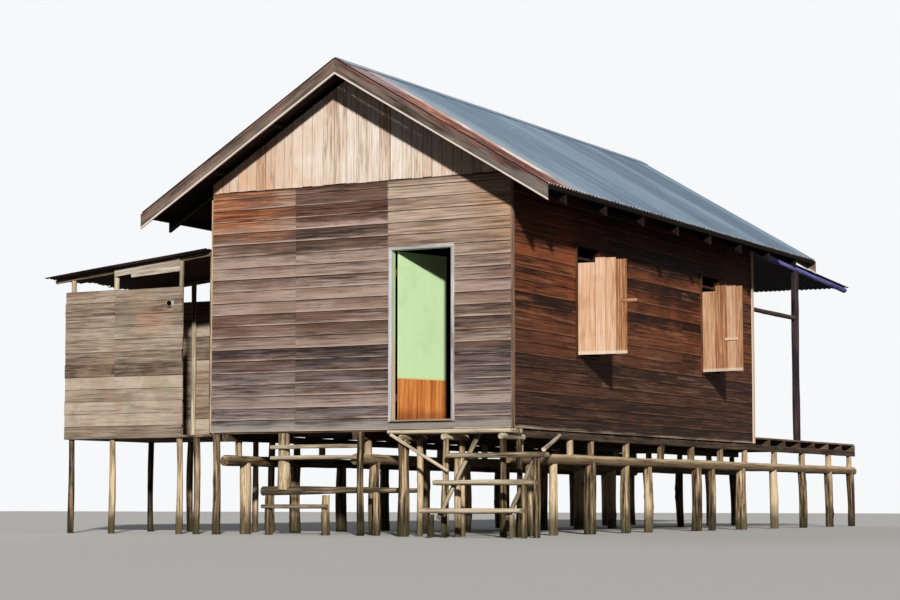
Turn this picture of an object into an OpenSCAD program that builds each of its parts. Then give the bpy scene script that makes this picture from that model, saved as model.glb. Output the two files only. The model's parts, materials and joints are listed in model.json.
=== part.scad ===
// A river house on timber piles: lapped board walls, a sheet metal gable roof,
// a lean-to wash cabin, a pole landing with steps and a covered rear platform.
// Millimetres, +Z up, the river side faces -Y, the water level is z = 0.

/* [House] */
// Width of the front wall
house_w = 4000; // [3400:50:5200]
// Length of the side walls
house_l = 7600; // [6600:50:9600]
// Height of the floor above the water
floor_z = 1290; // [1150:10:1800]
// Height of the walls from the floor to the top of the plates
wall_h = 2770; // [2400:10:3400]
// Thickness of the board cladding
wall_t = 24; // [16:1:40]
// How far the cladding hangs below the floor
wall_drop = 90; // [40:5:110]
// Thickness of the gable boards
gable_t = 20; // [12:1:30]

/* [Floor frame] */
// Thickness of the floor boards
deck_t = 25; // [18:1:40]
// Height of the joists
joist_h = 85; // [60:5:120]
// Width of the joists
joist_w = 50; // [40:5:80]
// Height of the sill beams
sill_h = 80; // [60:5:120]
// Width of the sill beams
sill_w = 80; // [60:5:120]
// Length of the short stubs between log and sill beam
stub_h = 165; // [100:5:260]
// Diameter of the short stubs
stub_d = 90; // [60:2:120]
// Diameter of the bearer logs
log_d = 130; // [100:5:180]
// Diameter of the piles
pile_d = 150; // [110:5:200]
// Diameter of a pile's head as a share of its foot
pile_taper = 0.9; // [0.8:0.01:1]

/* [Wall frame] */
// Section of the wall posts
post_w = 70; // [50:5:100]
// Height of the wall plates
plate_h = 70; // [50:5:100]
// Width of the corner boards
corner_w = 70; // [40:5:100]
// Thickness of the corner boards
corner_t = 16; // [10:1:25]

/* [Roof] */
// Pitch of the roof in degrees
roof_pitch = 31.1; // [22:0.1:38]
// Overhang of the roof at the front gable
front_over = 500; // [300:10:800]
// Overhang of the roof at the rear gable
rear_over = 700; // [250:10:850]
// Overhang of the roof at the side walls, measured level
eave_over = 700; // [300:10:850]
// Depth of the rafters
rafter_h = 110; // [80:5:130]
// Depth of the notch that seats a rafter on its plate
seat_h = 20; // [20:5:45]
// Width of the rafters
rafter_w = 50; // [40:5:80]
// Depth of the purlins
purlin_h = 50; // [30:5:60]
// Width of the purlins
purlin_w = 60; // [40:5:90]
// Depth of the corrugation of the roof sheets
sheet_h = 18; // [12:1:30]
// Width of one wave of the corrugation
wave_w = 76; // [60:1:130]
// Thickness of the sheet metal
sheet_t = 1.2; // [0.8:0.1:2]
// Waves on the first sheet behind the front gable
first_waves = 10; // [8:1:13]
// Width of the barge boards
barge_w = 150; // [120:5:220]
// Thickness of the barge boards
barge_t = 22; // [16:1:30]
// Width of each wing of the ridge cap
cap_w = 170; // [100:5:260]

/* [Door] */
// Clear width of the doorway
door_w = 770; // [640:5:930]
// Clear height of the doorway above the threshold
door_h = 1940; // [1800:10:2100]
// Distance from the middle of the front wall to the hinged jamb
door_x = 475; // [200:5:600]
// Thickness of the door leaf
leaf_t = 35; // [28:1:45]
// Gap round the door leaf
leaf_gap = 6; // [5:0.5:8]
// Angle that the leaf stands open
leaf_open = 72; // [20:1:80]
// Width of the door frame members
jamb_w = 40; // [35:1:60]
// Depth of the door frame
jamb_d = 100; // [90:5:120]
// Thickness of the threshold
threshold_t = 20; // [12:1:30]

/* [Windows] */
// Clear width of a window opening
window_w = 610; // [500:10:760]
// Clear height of a window opening
window_h = 1130; // [800:10:1200]
// Clear height of the open slot over each window
vent_h = 130; // [80:5:160]
// Height of the window sill above the floor
window_z = 820; // [700:10:950]
// Distance from the front wall to the first window
window_a = 1740; // [1500:10:2000]
// Distance from the front wall to the second window
window_b = 5670; // [4300:10:5800]
// Thickness of the window frame members
frame_t = 30; // [20:1:45]
// Thickness of the shutters
shutter_t = 22; // [16:1:30]
// Angle that the shutter nearest the front stands open
shutter_open_a = 86; // [30:1:105]
// Angle that the other shutters stand open
shutter_open_b = 100; // [30:1:105]

/* [Wash cabin] */
// Width of the cabin beyond the side wall
cabin_w = 2200; // [1800:10:2600]
// Depth of the cabin
cabin_l = 1800; // [1500:10:2300]
// Height of the cabin floor above the water
cabin_z = 1180; // [1100:10:1240]
// Height of the cabin walls
cabin_h = 1790; // [1600:10:1850]
// Width of the open gap beside the house
cabin_gap = 420; // [300:10:500]
// Diameter of the cabin posts
cabin_post_d = 90; // [70:2:110]
// Rise of the cabin roof towards the house
cabin_rise = 220; // [120:10:300]
// Thickness of the cabin roof sheets
cabin_sheet_t = 12; // [8:1:20]

/* [Landing and steps] */
// Width of the steps
step_w = 1200; // [900:10:1400]
// Run from tread to tread
step_run = 300; // [250:10:350]
// Rise from tread to tread
step_rise = 300; // [220:5:310]
// Number of treads
step_n = 3; // [2:1:3]
// Diameter of the tread poles
tread_d = 60; // [45:1:80]
// Distance from the middle of the house to the left end of the steps
step_x = 1450; // [1300:10:1600]
// Diameter of the step posts
step_post_d = 80; // [60:2:100]
// Depth of the landing
landing_l = 330; // [280:10:500]

/* [Rear platform] */
// Length of the platform behind the house
porch_l = 4500; // [3600:50:5400]
// Length of the canopy
canopy_l = 4350; // [3000:50:4450]
// Fall of the canopy over its length
canopy_fall = 230; // [100:10:320]
// Distance from the rear wall to the canopy posts
canopy_post_y = 1950; // [1500:10:2400]
// Diameter of the canopy posts
canopy_post_d = 120; // [80:5:140]
// Diameter of the canopy poles
canopy_pole_d = 80; // [60:5:100]
// Thickness of the canopy sheets
canopy_t = 18; // [12:1:30]
// Height of the rail above the floor
rail_z = 1820; // [1000:10:2000]

/* [Hidden] */

half_w = house_w / 2;
half_l = house_l / 2;
front_y = -half_l;
rear_y = half_l;
inner_x = half_w - wall_t;
inner_y = half_l - wall_t;
plate_z = floor_z + wall_h;
wall_z = floor_z - wall_drop;
deck_z = floor_z - deck_t;
joist_z = deck_z - joist_h;
sill_z = joist_z - sill_h;
log_top = sill_z - stub_h;
log_z = log_top - log_d / 2;
end_y = rear_y + porch_l;
round_fn = 32;
// Gap at which one piece lies on another where their faces aren't flat and level
seat_gap = 0.3;

// The roof planes: height of the rafters' underside at a distance x from the middle
tan_p = tan(roof_pitch);
cos_p = cos(roof_pitch);
function under(x) = plate_z - seat_h + (half_w - x) * tan_p;
function plumb(h) = h / cos_p;
roof_x = half_w + eave_over;
roof_y0 = front_y - front_over;
roof_y1 = rear_y + rear_over;
stack_h = rafter_h + purlin_h;
slope_l = roof_x / cos_p;

// Rows of logs and piles
log_x = [-half_w + 200, 0, half_w - sill_w / 2];
pile_right_y = [-3250, -2650, -1650, -600, 100, 1700, 2250, 3350];
pile_right_d = [130, 110, 170, 130, 120, 150, 120, 160];
pile_rows_y = [-3350, -2230, -1120, 0, 1120, 2230, 3350];
rear_pile_y = [830, 2070, 3280, 4350];
rear_pile_d = 130;
rear_pile_lean = 45;
stub_y = [-3500, -2200, -1610, -580, 510, 1530, 2580, 3500, 4700, 5900, 7100, 8100];
joist_n = 12;
porch_joist_n = 7;

// Round pole between two points, thinner towards the second one where taper is under 1
module pole(a, b, d, taper = 1) {
    v = b - a;
    len = norm(v);
    translate(a)
        rotate([0, acos(v[2] / len), atan2(v[1], v[0])])
            cylinder(h = len, d1 = d, d2 = d * taper, $fn = round_fn);
}

// Upright pile with a flat foot at z = 0 and a level head; dx, dy lean its foot outwards
lean_room = 1000;
module pile(x, y, top, d, dx = 0, dy = 0) {
    if (dx == 0 && dy == 0)
        pole([x, y, 0], [x, y, top], d, pile_taper);
    else
        intersection() {
            pole([x + dx, y + dy, 0] + 0.1 * [dx, dy, -top], [x, y, top] - 0.1 * [dx, dy, -top], d);
            translate([x - lean_room, y - lean_room, 0])
                cube([2 * lean_room, 2 * lean_room, top]);
        }
}

// The three bearer logs, as one tool for cutting their seats
module log_rounds() {
    for (x = log_x)
        translate([x, front_y, log_z])
            rotate([-90, 0, 0])
                cylinder(h = end_y - front_y, d = log_d, $fn = round_fn);
}

module bearer_logs() {
    color([0.62, 0.56, 0.42])
        log_rounds();
}

// Piles under the house and the rear platform, each head notched round its log
pile_let = 10;
module piles() {
    color([0.66, 0.60, 0.45])
        difference() {
            union() {
                for (i = [0 : len(pile_right_y) - 1])
                    pile(log_x[2], pile_right_y[i], log_z - pile_let, pile_right_d[i]);
                for (y = pile_rows_y)
                    for (x = [log_x[0], log_x[1]])
                        pile(x, y, log_z - pile_let, pile_d);
                for (y = rear_pile_y)
                    for (x = log_x)
                        pile(x, rear_y + y, log_z - pile_let, rear_pile_d, 0, rear_pile_lean);
            }
            log_rounds();
        }
}

// Short stubs that stand on the logs, hollowed at the foot to sit on the round
module stub_posts() {
    color([0.55, 0.48, 0.38])
        difference() {
            for (y = stub_y)
                for (x = log_x)
                    translate([x, y, log_z])
                        cylinder(h = sill_z - log_z, d = stub_d, $fn = round_fn);
            log_rounds();
        }
}

module sill_beams() {
    color([0.48, 0.42, 0.36])
        for (x = log_x)
            translate([x - sill_w / 2, front_y, sill_z])
                cube([sill_w, end_y - front_y, sill_h]);
}

module floor_joists() {
    color([0.45, 0.39, 0.33]) {
        for (i = [0 : joist_n - 1])
            translate([-inner_x, -inner_y + i * (2 * inner_y - joist_w) / (joist_n - 1), joist_z])
                cube([2 * inner_x, joist_w, joist_h]);
        for (i = [1 : porch_joist_n])
            translate([-half_w, rear_y - joist_w + i * porch_l / porch_joist_n, joist_z])
                cube([house_w, joist_w, joist_h]);
    }
}

module floor_deck() {
    color([0.55, 0.47, 0.38])
        translate([-inner_x, -inner_y, deck_z])
            cube([2 * inner_x, 2 * inner_y, deck_t]);
}

module rear_deck() {
    color([0.50, 0.44, 0.38])
        translate([-half_w, rear_y, deck_z])
            cube([house_w, porch_l, deck_t]);
}

// A flat wall panel across the house, its outer face at y
module panel_x(x0, x1, z0, z1, y, t) {
    translate([x0, y, z0])
        cube([x1 - x0, t, z1 - z0]);
}

// A flat wall panel along the house, its outer face on the right wall's plane
module panel_y(y0, y1, z0, z1) {
    translate([inner_x, y0, z0])
        cube([wall_t, y1 - y0, z1 - z0]);
}

door_left = door_x - jamb_w;
door_right = door_x + door_w + jamb_w;
door_top = floor_z + threshold_t + door_h;
board_brown = [0.50, 0.40, 0.35];

module front_wall_left() {
    color(board_brown)
        panel_x(-half_w, door_left, wall_z, plate_z, front_y, wall_t);
}

module front_wall_right() {
    color(board_brown)
        panel_x(door_right, half_w, wall_z, plate_z, front_y, wall_t);
}

// The boards over the doorway and the strip under its threshold
module front_wall_at_door() {
    color(board_brown) {
        panel_x(door_left, door_right, door_top + jamb_w, plate_z, front_y, wall_t);
        panel_x(door_left, door_right, wall_z, floor_z, front_y, wall_t);
    }
}

module rear_wall() {
    color(board_brown)
        panel_x(-half_w, half_w, wall_z, plate_z, inner_y, wall_t);
}

// Triangle of upright boards from the plate to the underside of the purlins
module gable(y) {
    top = plumb(rafter_h);
    color([0.88, 0.78, 0.66])
        translate([0, y + gable_t, 0])
            rotate([90, 0, 0])
                linear_extrude(gable_t)
                    polygon([
                        [-half_w, plate_z],
                        [half_w, plate_z],
                        [half_w, under(half_w) + top],
                        [0, under(0) + top],
                        [-half_w, under(half_w) + top],
                    ]);
}

module front_gable() {
    gable(front_y);
}

module rear_gable() {
    gable(rear_y - gable_t);
}

window_z0 = floor_z + window_z;
window_z1 = window_z0 + window_h + frame_t + vent_h;
window_ya = front_y + window_a;
window_yb = front_y + window_b;
side_brown = [0.40, 0.25, 0.18];

module right_wall_low() {
    color(side_brown)
        panel_y(-inner_y, inner_y, wall_z, window_z0 - frame_t);
}

module right_wall_piers() {
    color(side_brown) {
        panel_y(-inner_y, window_ya - frame_t, window_z0 - frame_t, window_z1 + frame_t);
        panel_y(window_ya + window_w + frame_t, window_yb - frame_t,
            window_z0 - frame_t, window_z1 + frame_t);
        panel_y(window_yb + window_w + frame_t, inner_y, window_z0 - frame_t, window_z1 + frame_t);
    }
}

module right_wall_top() {
    color(side_brown)
        panel_y(-inner_y, inner_y, window_z1 + frame_t, plate_z);
}

module left_wall_low() {
    color(side_brown)
        mirror([1, 0, 0])
            panel_y(-inner_y, inner_y, wall_z, window_z0 - frame_t);
}

module left_wall_piers() {
    color(side_brown)
        mirror([1, 0, 0])
            panel_y(-inner_y, inner_y, window_z0 - frame_t, window_z1 + frame_t);
}

module left_wall_top() {
    color(side_brown)
        mirror([1, 0, 0])
            panel_y(-inner_y, inner_y, window_z1 + frame_t, plate_z);
}

// Upright strips that close the corners, on the side walls
module corner_boards() {
    color([0.80, 0.72, 0.62])
        for (sx = [0, 1])
            for (sy = [0, 1])
                mirror([sx, 0, 0])
                    mirror([0, sy, 0])
                        translate([half_w, half_l - corner_w, wall_z])
                            cube([corner_t, corner_w, plate_z - plate_h - wall_z]);
}

// Square posts inside the cladding, from the floor to the plates
post_z1 = plate_z - plate_h;
mid_post_y = -400;
end_post_x = [-700, 630];
module wall_posts() {
    side_y = [-inner_y, window_ya - frame_t - post_w, window_ya + window_w + frame_t, mid_post_y,
        window_yb - frame_t - post_w, window_yb + window_w + frame_t, inner_y - post_w];
    color([0.52, 0.43, 0.34]) {
        for (y = side_y)
            for (sx = [0, 1])
                mirror([sx, 0, 0])
                    translate([inner_x - post_w, y, floor_z])
                        cube([post_w, post_w, post_z1 - floor_z]);
        for (x = [end_post_x[0], door_left - post_w, door_right])
            translate([x, -inner_y, floor_z])
                cube([post_w, post_w, post_z1 - floor_z]);
        for (x = end_post_x)
            translate([x, inner_y - post_w, floor_z])
                cube([post_w, post_w, post_z1 - floor_z]);
    }
}

module wall_plates() {
    color([0.52, 0.43, 0.34])
        translate([0, 0, post_z1])
            difference() {
                translate([-inner_x, -inner_y, 0])
                    cube([2 * inner_x, 2 * inner_y, plate_h]);
                translate([-inner_x + post_w, -inner_y + post_w, -1])
                    cube([2 * (inner_x - post_w), 2 * (inner_y - post_w), plate_h + 2]);
            }
}

// Door frame, flush with the boards outside; the leaf closes level with its inner face
jamb_y0 = front_y - 8;
jamb_y1 = jamb_y0 + jamb_d;
leaf_z0 = floor_z + threshold_t + 8;
leaf_z1 = door_top - leaf_gap;
hinge_r = 8;
hinge_h = 90;
hinge_plate_t = 3;
hinge_x = door_x + leaf_gap / 2;
hinge_y = jamb_y1 + hinge_r;
hinge_at = [leaf_z0 + 200, leaf_z1 - 200 - hinge_h];

module door_frame() {
    color([0.85, 0.80, 0.68])
        difference() {
            translate([door_left, jamb_y0, floor_z])
                cube([door_right - door_left, jamb_d, door_top + jamb_w - floor_z]);
            translate([door_x, jamb_y0 - 1, floor_z - 1])
                cube([door_w, jamb_d + 2, door_top - floor_z + 1]);
        }
}

threshold_out = 30;
threshold_in = 8;
module threshold() {
    color([0.75, 0.70, 0.62])
        translate([door_x, front_y - threshold_out, floor_z])
            cube([door_w, threshold_out + jamb_d - threshold_in, threshold_t]);
}

// Turns its children about the hinge line to the angle at which the leaf stands
module swung() {
    translate([hinge_x, hinge_y, 0])
        rotate([0, 0, leaf_open])
            translate([-hinge_x, -hinge_y, 0])
                children();
}

module door_leaf() {
    color([0.74, 0.88, 0.68])
        swung()
            translate([door_x + leaf_gap, jamb_y1 - leaf_t, leaf_z0])
                cube([door_w - 2 * leaf_gap, leaf_t, leaf_z1 - leaf_z0]);
}

// Fixed hinge halves: lower knuckle, pin and the plate on the frame's inner face
pin_r = 3;
pin_clear = 0.3;
pin_end = 4;
knuckle_gap = 0.5;
hinge_plate_w = 34;
strap_l = 180;
knuckle_h = hinge_h / 2 - knuckle_gap;
module door_hinges() {
    color([0.35, 0.33, 0.32])
        for (z = hinge_at) {
            translate([hinge_x, hinge_y, z])
                cylinder(h = knuckle_h, r = hinge_r, $fn = round_fn);
            translate([hinge_x, hinge_y, z + hinge_h / 2 - 1])
                cylinder(h = hinge_h / 2 - pin_end, r = pin_r, $fn = round_fn);
            translate([hinge_x - hinge_plate_w, jamb_y1, z])
                cube([hinge_plate_w, hinge_plate_t, knuckle_h]);
        }
}

// Moving hinge halves: upper knuckle with its bore and the strap on the leaf
module door_straps() {
    color([0.35, 0.33, 0.32])
        swung()
            for (z = hinge_at)
                difference() {
                    union() {
                        translate([hinge_x, hinge_y, z + hinge_h / 2 + knuckle_gap])
                            cylinder(h = knuckle_h, r = hinge_r, $fn = round_fn);
                        translate([hinge_x, jamb_y1, z + hinge_h / 2 + knuckle_gap])
                            cube([strap_l, hinge_plate_t, knuckle_h]);
                    }
                    translate([hinge_x, hinge_y, z + hinge_h / 2])
                        cylinder(h = hinge_h / 2 - 1, r = pin_r + pin_clear, $fn = round_fn);
                }
}

// Frame lining round each window opening, with a cross piece under the open slot
lining_in = 45;
lining_out = 10;
module window_lining(y) {
    depth = wall_t + lining_in + lining_out;
    translate([inner_x - lining_in, y - frame_t, window_z0 - frame_t])
        difference() {
            cube([depth, window_w + 2 * frame_t, window_z1 - window_z0 + 2 * frame_t]);
            translate([-1, frame_t, frame_t])
                cube([depth + 2, window_w, window_h]);
            translate([-1, frame_t, window_h + 2 * frame_t])
                cube([depth + 2, window_w, vent_h]);
        }
}

module window_frames() {
    color([0.55, 0.42, 0.30]) {
        window_lining(window_ya);
        window_lining(window_yb);
    }
}

// Puts children on a shutter's own plane: X along its width from the hinge, Y its outer face
shutter_lap = 6;
module on_shutter(y, open) {
    clear = shutter_t * max(0, cos(open)) + seat_gap;
    translate([half_w + lining_out + clear, y - shutter_lap, window_z0])
        rotate([0, 0, 90 - open])
            children();
}

module shutter(y, open) {
    on_shutter(y, open)
        translate([0, 0, -shutter_lap])
            cube([window_w, shutter_t, window_h + 2 * shutter_lap]);
}

module shutters() {
    color([0.88, 0.68, 0.48]) {
        shutter(window_ya, shutter_open_a);
        shutter(window_yb, shutter_open_b);
    }
}

// Ledges across the inner face of a shutter, and the turn button on its outer face
ledge_in = 100;
ledge_end = 60;
ledge_w = 70;
ledge_t = 18;
button_l = 190;
button_w = 36;
button_t = 16;
// Each button's inner end, from the shutter's free edge and from its head
button_a = [60, 530];
button_b = [260, 730];
module battens(y, open, button) {
    on_shutter(y, open) {
        for (z = [ledge_in, window_h - ledge_in - ledge_w])
            translate([ledge_end, shutter_t, z])
                cube([window_w - 2 * ledge_end, ledge_t, ledge_w]);
        translate([window_w - button[0], -button_t, window_h - button[1]])
            cube([button_l, button_t, button_w]);
    }
}

module shutter_battens() {
    color([0.80, 0.62, 0.44]) {
        battens(window_ya, shutter_open_a, button_a);
        battens(window_yb, shutter_open_b, button_b);
    }
}

// A strip that follows the right roof plane between two distances from the middle
module slope_strip(x0, x1, lo, hi, y0, y1) {
    translate([0, y1, 0])
        rotate([90, 0, 0])
            linear_extrude(y1 - y0)
                polygon([
                    [x0, under(x0) + plumb(lo)],
                    [x1, under(x1) + plumb(lo)],
                    [x1, under(x1) + plumb(hi)],
                    [x0, under(x0) + plumb(hi)],
                ]);
}

// The right roof plane: X down the slope, Z square to it, from the rafters' underside
module on_slope() {
    translate([0, 0, under(0)])
        rotate([0, roof_pitch, 0])
            children();
}

rafter_n = 8;
rafter_short = 40;
module rafters() {
    y0 = -inner_y;
    step = (2 * inner_y - rafter_w) / (rafter_n - 1);
    color([0.46, 0.38, 0.31])
        difference() {
            for (i = [0 : rafter_n - 1])
                for (sx = [0, 1])
                    mirror([sx, 0, 0])
                        slope_strip(0.5, roof_x - rafter_short, 0, rafter_h,
                            y0 + i * step, y0 + i * step + rafter_w);
            translate([-half_w, -half_l, wall_z])
                cube([house_w, house_l, plate_z - wall_z]);
        }
}

purlin_n = 4;
purlin_in = 120;
module purlins() {
    color([0.48, 0.40, 0.33])
        for (sx = [0, 1])
            mirror([sx, 0, 0])
                on_slope()
                    for (i = [0 : purlin_n - 1])
                        translate([purlin_in + i * (slope_l - 2 * purlin_in) / (purlin_n - 1) - purlin_w / 2,
                            roof_y0 + barge_t, rafter_h])
                            cube([purlin_w, roof_y1 - roof_y0 - 2 * barge_t, purlin_h]);
}

// Corrugated sheet on the right plane: a wave across the slope, drawn out down the slope.
// Each wave has six points and its valley rests on the purlins.
wave_pts = 6;
wave_n = round((roof_y1 - roof_y0) / wave_w);
wave_step = (roof_y1 - roof_y0) / wave_n / wave_pts;
sheet_z = stack_h + seat_gap;
sheet_u0 = -stack_h * tan_p + 6;
sheet_u1 = roof_x / cos_p - (sheet_z + sheet_h) * tan_p;
function wave(i) = (sheet_h - sheet_t) * (1 - cos(360 / wave_pts * i)) / 2;
module corrugated(first, last) {
    on_slope()
        translate([sheet_u0, roof_y0, sheet_z])
            rotate([90, 0, 90])
                linear_extrude(sheet_u1 - sheet_u0)
                    polygon(concat(
                        [for (i = [first * wave_pts : last * wave_pts])
                            [i * wave_step, wave(i)]],
                        [for (i = [last * wave_pts : -1 : first * wave_pts])
                            [i * wave_step, wave(i) + sheet_t]]
                    ));
}

module front_sheet() {
    color([0.45, 0.22, 0.17])
        corrugated(0, first_waves);
}

module roof_sheets() {
    color([0.52, 0.57, 0.60]) {
        corrugated(first_waves, wave_n);
        mirror([1, 0, 0])
            corrugated(0, wave_n);
    }
}

// Bent cap over the joint of the two roof planes
cap_t = 4;
cap_in = 30;
module ridge_cap() {
    z0 = under(0) + plumb(sheet_z + sheet_h + seat_gap);
    x1 = cap_w * cos_p;
    color([0.45, 0.42, 0.42])
        translate([0, roof_y1 - cap_in, z0])
            rotate([90, 0, 0])
                linear_extrude(roof_y1 - roof_y0 - 2 * cap_in)
                    polygon([
                        [0, 0],
                        [x1, -x1 * tan_p],
                        [x1, -x1 * tan_p + cap_t],
                        [0, cap_t],
                        [-x1, -x1 * tan_p + cap_t],
                        [-x1, -x1 * tan_p],
                    ]);
}

// Boards that close the roof's edge at both gables, under the sheets
module barge_boards() {
    color([0.45, 0.38, 0.36])
        for (sx = [0, 1])
            mirror([sx, 0, 0])
                for (y = [roof_y0, roof_y1 - barge_t])
                    slope_strip(0.5, roof_x, stack_h - barge_w, stack_h, y, y + barge_t);
}

// Rough frame under the front wall: a low log on stub piles, a prop that stands on it
// and carries the first joist, a slim post and the rails lashed between them
frame_y = front_y + wall_t + joist_w / 2;
low_log_z = 510;
low_log_d = 120;
prop_x = -1000;
prop_d = 160;
slim_x = 111;
slim_d = 95;
slim_y = frame_y - (low_log_d + slim_d) / 2;
frame_post_x = [-1200, -420, 250];
frame_post_d = 100;
lash_d = 50;
lash_end = 60;
low_log_x = [-1290, 150];
low_tail_in = 50;
low_tail_d = 60;

// The low log, thinner where it runs on to the landing's first post
module low_log() {
    pole([low_log_x[0], frame_y, low_log_z], [low_log_x[1], frame_y, low_log_z], low_log_d);
    pole([low_log_x[1] - low_tail_in, frame_y, low_log_z],
        [landing_bearer_x[0], frame_y, low_log_z], low_tail_d);
}

module prop() {
    pole([prop_x, frame_y, low_log_z], [prop_x, frame_y, joist_z], prop_d);
}

slim_short = 20;
module slim_post() {
    pile(slim_x, slim_y, wall_z - slim_short, slim_d);
}

module frame_posts() {
    for (x = frame_post_x)
        pile(x, frame_y, low_log_z - pile_let, frame_post_d);
}

corner_post_in = 50;
module front_posts() {
    color([0.64, 0.58, 0.42]) {
        difference() {
            frame_posts();
            low_log();
        }
        difference() {
            prop();
            low_log();
        }
        slim_post();
        pile(-half_w + corner_post_in, frame_y, joist_z, frame_post_d);
    }
}

rail_at = [890, 1018];
low_rail_z = 330;
low_rail_deep = 8;
prop_rail_out = 110;
module front_rails() {
    y = frame_y - (prop_d + lash_d) / 2;
    low_y = frame_y - (frame_post_d + lash_d) / 2 + low_rail_deep;
    color([0.60, 0.52, 0.40]) {
        difference() {
            low_log();
            translate([landing_bearer_x[0], frame_y, 0])
                cylinder(h = 2 * low_log_z, d = inner_post_d, $fn = round_fn);
        }
        difference() {
            for (z = rail_at)
                pole([prop_x - prop_rail_out, y, z], [slim_x, y, z], lash_d);
            slim_post();
        }
        difference() {
            pole([frame_post_x[0] - lash_end, low_y, low_rail_z],
                [frame_post_x[1] + lash_end, low_y, low_rail_z], lash_d);
            frame_posts();
        }
        landing_brace();
    }
}

// Landing before the doorway: poles laid side by side across three bearers
landing_z = wall_z - 40;
landing_x0 = 620;
landing_x1 = 2160;
landing_pole_d = 55;
landing_n = 5;
landing_bearer_d = 70;
landing_post_d = [150, 80, 90];
inner_post_d = 80;
log_clear = 5;
landing_bearer_x = [820, 1360, log_x[2] + (log_d + inner_post_d) / 2 + log_clear];
landing_bearer_z = landing_z - (landing_pole_d + landing_bearer_d) / 2;
bearer_out = 60;
landing_y0 = front_y - landing_l - bearer_out;
landing_y1 = front_y + 160;
landing_post_y = [landing_y0 + bearer_out, frame_y];
first_pole_out = 30;
bearer_let = 8;

module landing_poles() {
    color([0.70, 0.62, 0.48])
        for (i = [0 : landing_n - 1])
            let (y = front_y - first_pole_out - landing_pole_d / 2 - i * landing_l / landing_n)
                pole([landing_x0, y, landing_z], [landing_x1, y, landing_z], landing_pole_d);
}

module landing_bearers() {
    color([0.56, 0.48, 0.36])
        for (x = landing_bearer_x)
            pole([x, landing_y1, landing_bearer_z], [x, landing_y0, landing_bearer_z], landing_bearer_d);
}

module landing_posts() {
    color([0.62, 0.56, 0.42])
        difference() {
            for (i = [0 : 2])
                for (y = landing_post_y)
                    pile(landing_bearer_x[i], y, landing_bearer_z - bearer_let,
                        y < front_y ? landing_post_d[i] : inner_post_d);
            landing_bearers();
        }
}

// Brace across the first two outer posts of the landing, housed a little into both
brace_d = 45;
brace_deep = 6;
brace_ends = [[landing_bearer_x[0] - 110, landing_bearer_z + 30],
    [landing_bearer_x[1] + 60, landing_bearer_z - 380]];
function brace_y(i) = landing_post_y[0] - (landing_post_d[i] + brace_d) / 2 + brace_deep;
module landing_brace() {
    difference() {
        pole([brace_ends[0][0], brace_y(0), brace_ends[0][1]],
            [brace_ends[1][0], brace_y(1), brace_ends[1][1]], brace_d);
        landing_posts();
    }
}

// Treads: two round poles side by side on each step, lower and further out each time
tread_pitch = tread_d + 8;
tread_out = 20;
tread_up = 30;
step_post_in = 120;
function tread_y(i) = landing_y0 - tread_out - i * step_run;
function tread_z(i) = landing_z - (i + 1) * step_rise + tread_up;
step_post_x = [step_x + step_post_in, step_x + step_w - step_post_in];

module step_treads() {
    color([0.72, 0.64, 0.50])
        for (i = [0 : step_n - 1])
            for (k = [0, 1])
                pole([step_x, tread_y(i) - k * tread_pitch, tread_z(i)],
                    [step_x + step_w, tread_y(i) - k * tread_pitch, tread_z(i)], tread_d);
}

module step_posts() {
    color([0.60, 0.54, 0.40])
        for (i = [0 : step_n - 1])
            for (x = step_post_x)
                pile(x, tread_y(i) - tread_pitch / 2, tread_z(i) - tread_d / 2, step_post_d);
}

// Side pole that lies on the first tread and is cut to bear on the right sill beam
side_pole_d = 50;
side_pole_l = 1600;
side_pole_in = 50;
side_pole_run = [0.012, 0.03];
module side_pole() {
    foot = [step_x + step_w - side_pole_in, tread_y(0), tread_z(0) + (tread_d + side_pole_d) / 2 + 1];
    head = [half_w, tread_y(0) + side_pole_l, sill_z + sill_h / 2];
    v = head - foot;
    difference() {
        pole(foot - v * side_pole_run[0], head + v * side_pole_run[1], side_pole_d);
        translate([0, tread_y(0), 0])
            cube([half_w, side_pole_l + half_l, 2 * sill_z]);
    }
}

// Raking poles under the treads, beside the posts; the left one ends under the landing
stringer_d = 54;
stringer_end = 40;
stringer_top = -1.3;
module step_stringers() {
    len = norm([step_run, step_rise]);
    off = (tread_d + stringer_d) / 2 / len;
    side = (step_post_d + stringer_d) / 2 + 1;
    color([0.62, 0.55, 0.42]) {
        for (x = [step_post_x[0] + side, step_post_x[1] - side])
            intersection() {
                pole([x, tread_y(stringer_top) + off * step_rise, tread_z(stringer_top) - off * step_run],
                    [x, tread_y(step_n - 1) + off * step_rise - stringer_end,
                        tread_z(step_n - 1) - off * step_run - stringer_end * step_rise / step_run],
                    stringer_d);
                translate([x - half_w, landing_y0 - half_l, 0])
                    cube([house_w, house_l, x < landing_x1
                        ? landing_z - landing_pole_d / 2
                        : tread_z(0)]);
            }
        side_pole();
    }
}

cabin_x0 = -half_w - cabin_w;
cabin_x1 = -half_w - cabin_gap;
cabin_y1 = front_y + cabin_l;
cabin_wall_t = 20;

// Front wall of the cabin, with a round hole for the pipe
pipe_d = 76;
pipe_at = [cabin_x1 - 180, cabin_z + cabin_h - 200];
pipe_t = 4;
pipe_out = 40;
cabin_wall_down = 30;
module cabin_front() {
    color([0.65, 0.60, 0.53])
        difference() {
            panel_x(cabin_x0, cabin_x1, cabin_z - cabin_wall_down, cabin_z + cabin_h,
                front_y, cabin_wall_t);
            pipe_round(pipe_d + 2 * seat_gap, pipe_out);
        }
}

// Round along Y through the cabin's front wall, standing out by the given length
module pipe_round(d, out) {
    translate([pipe_at[0], front_y - out, pipe_at[1]])
        rotate([-90, 0, 0])
            cylinder(h = cabin_wall_t + 2 * out, d = d, $fn = round_fn);
}

module cabin_pipe() {
    color([0.90, 0.88, 0.84])
        difference() {
            pipe_round(pipe_d, pipe_out);
            pipe_round(pipe_d - 2 * pipe_t, pipe_out + 1);
        }
}

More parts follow.
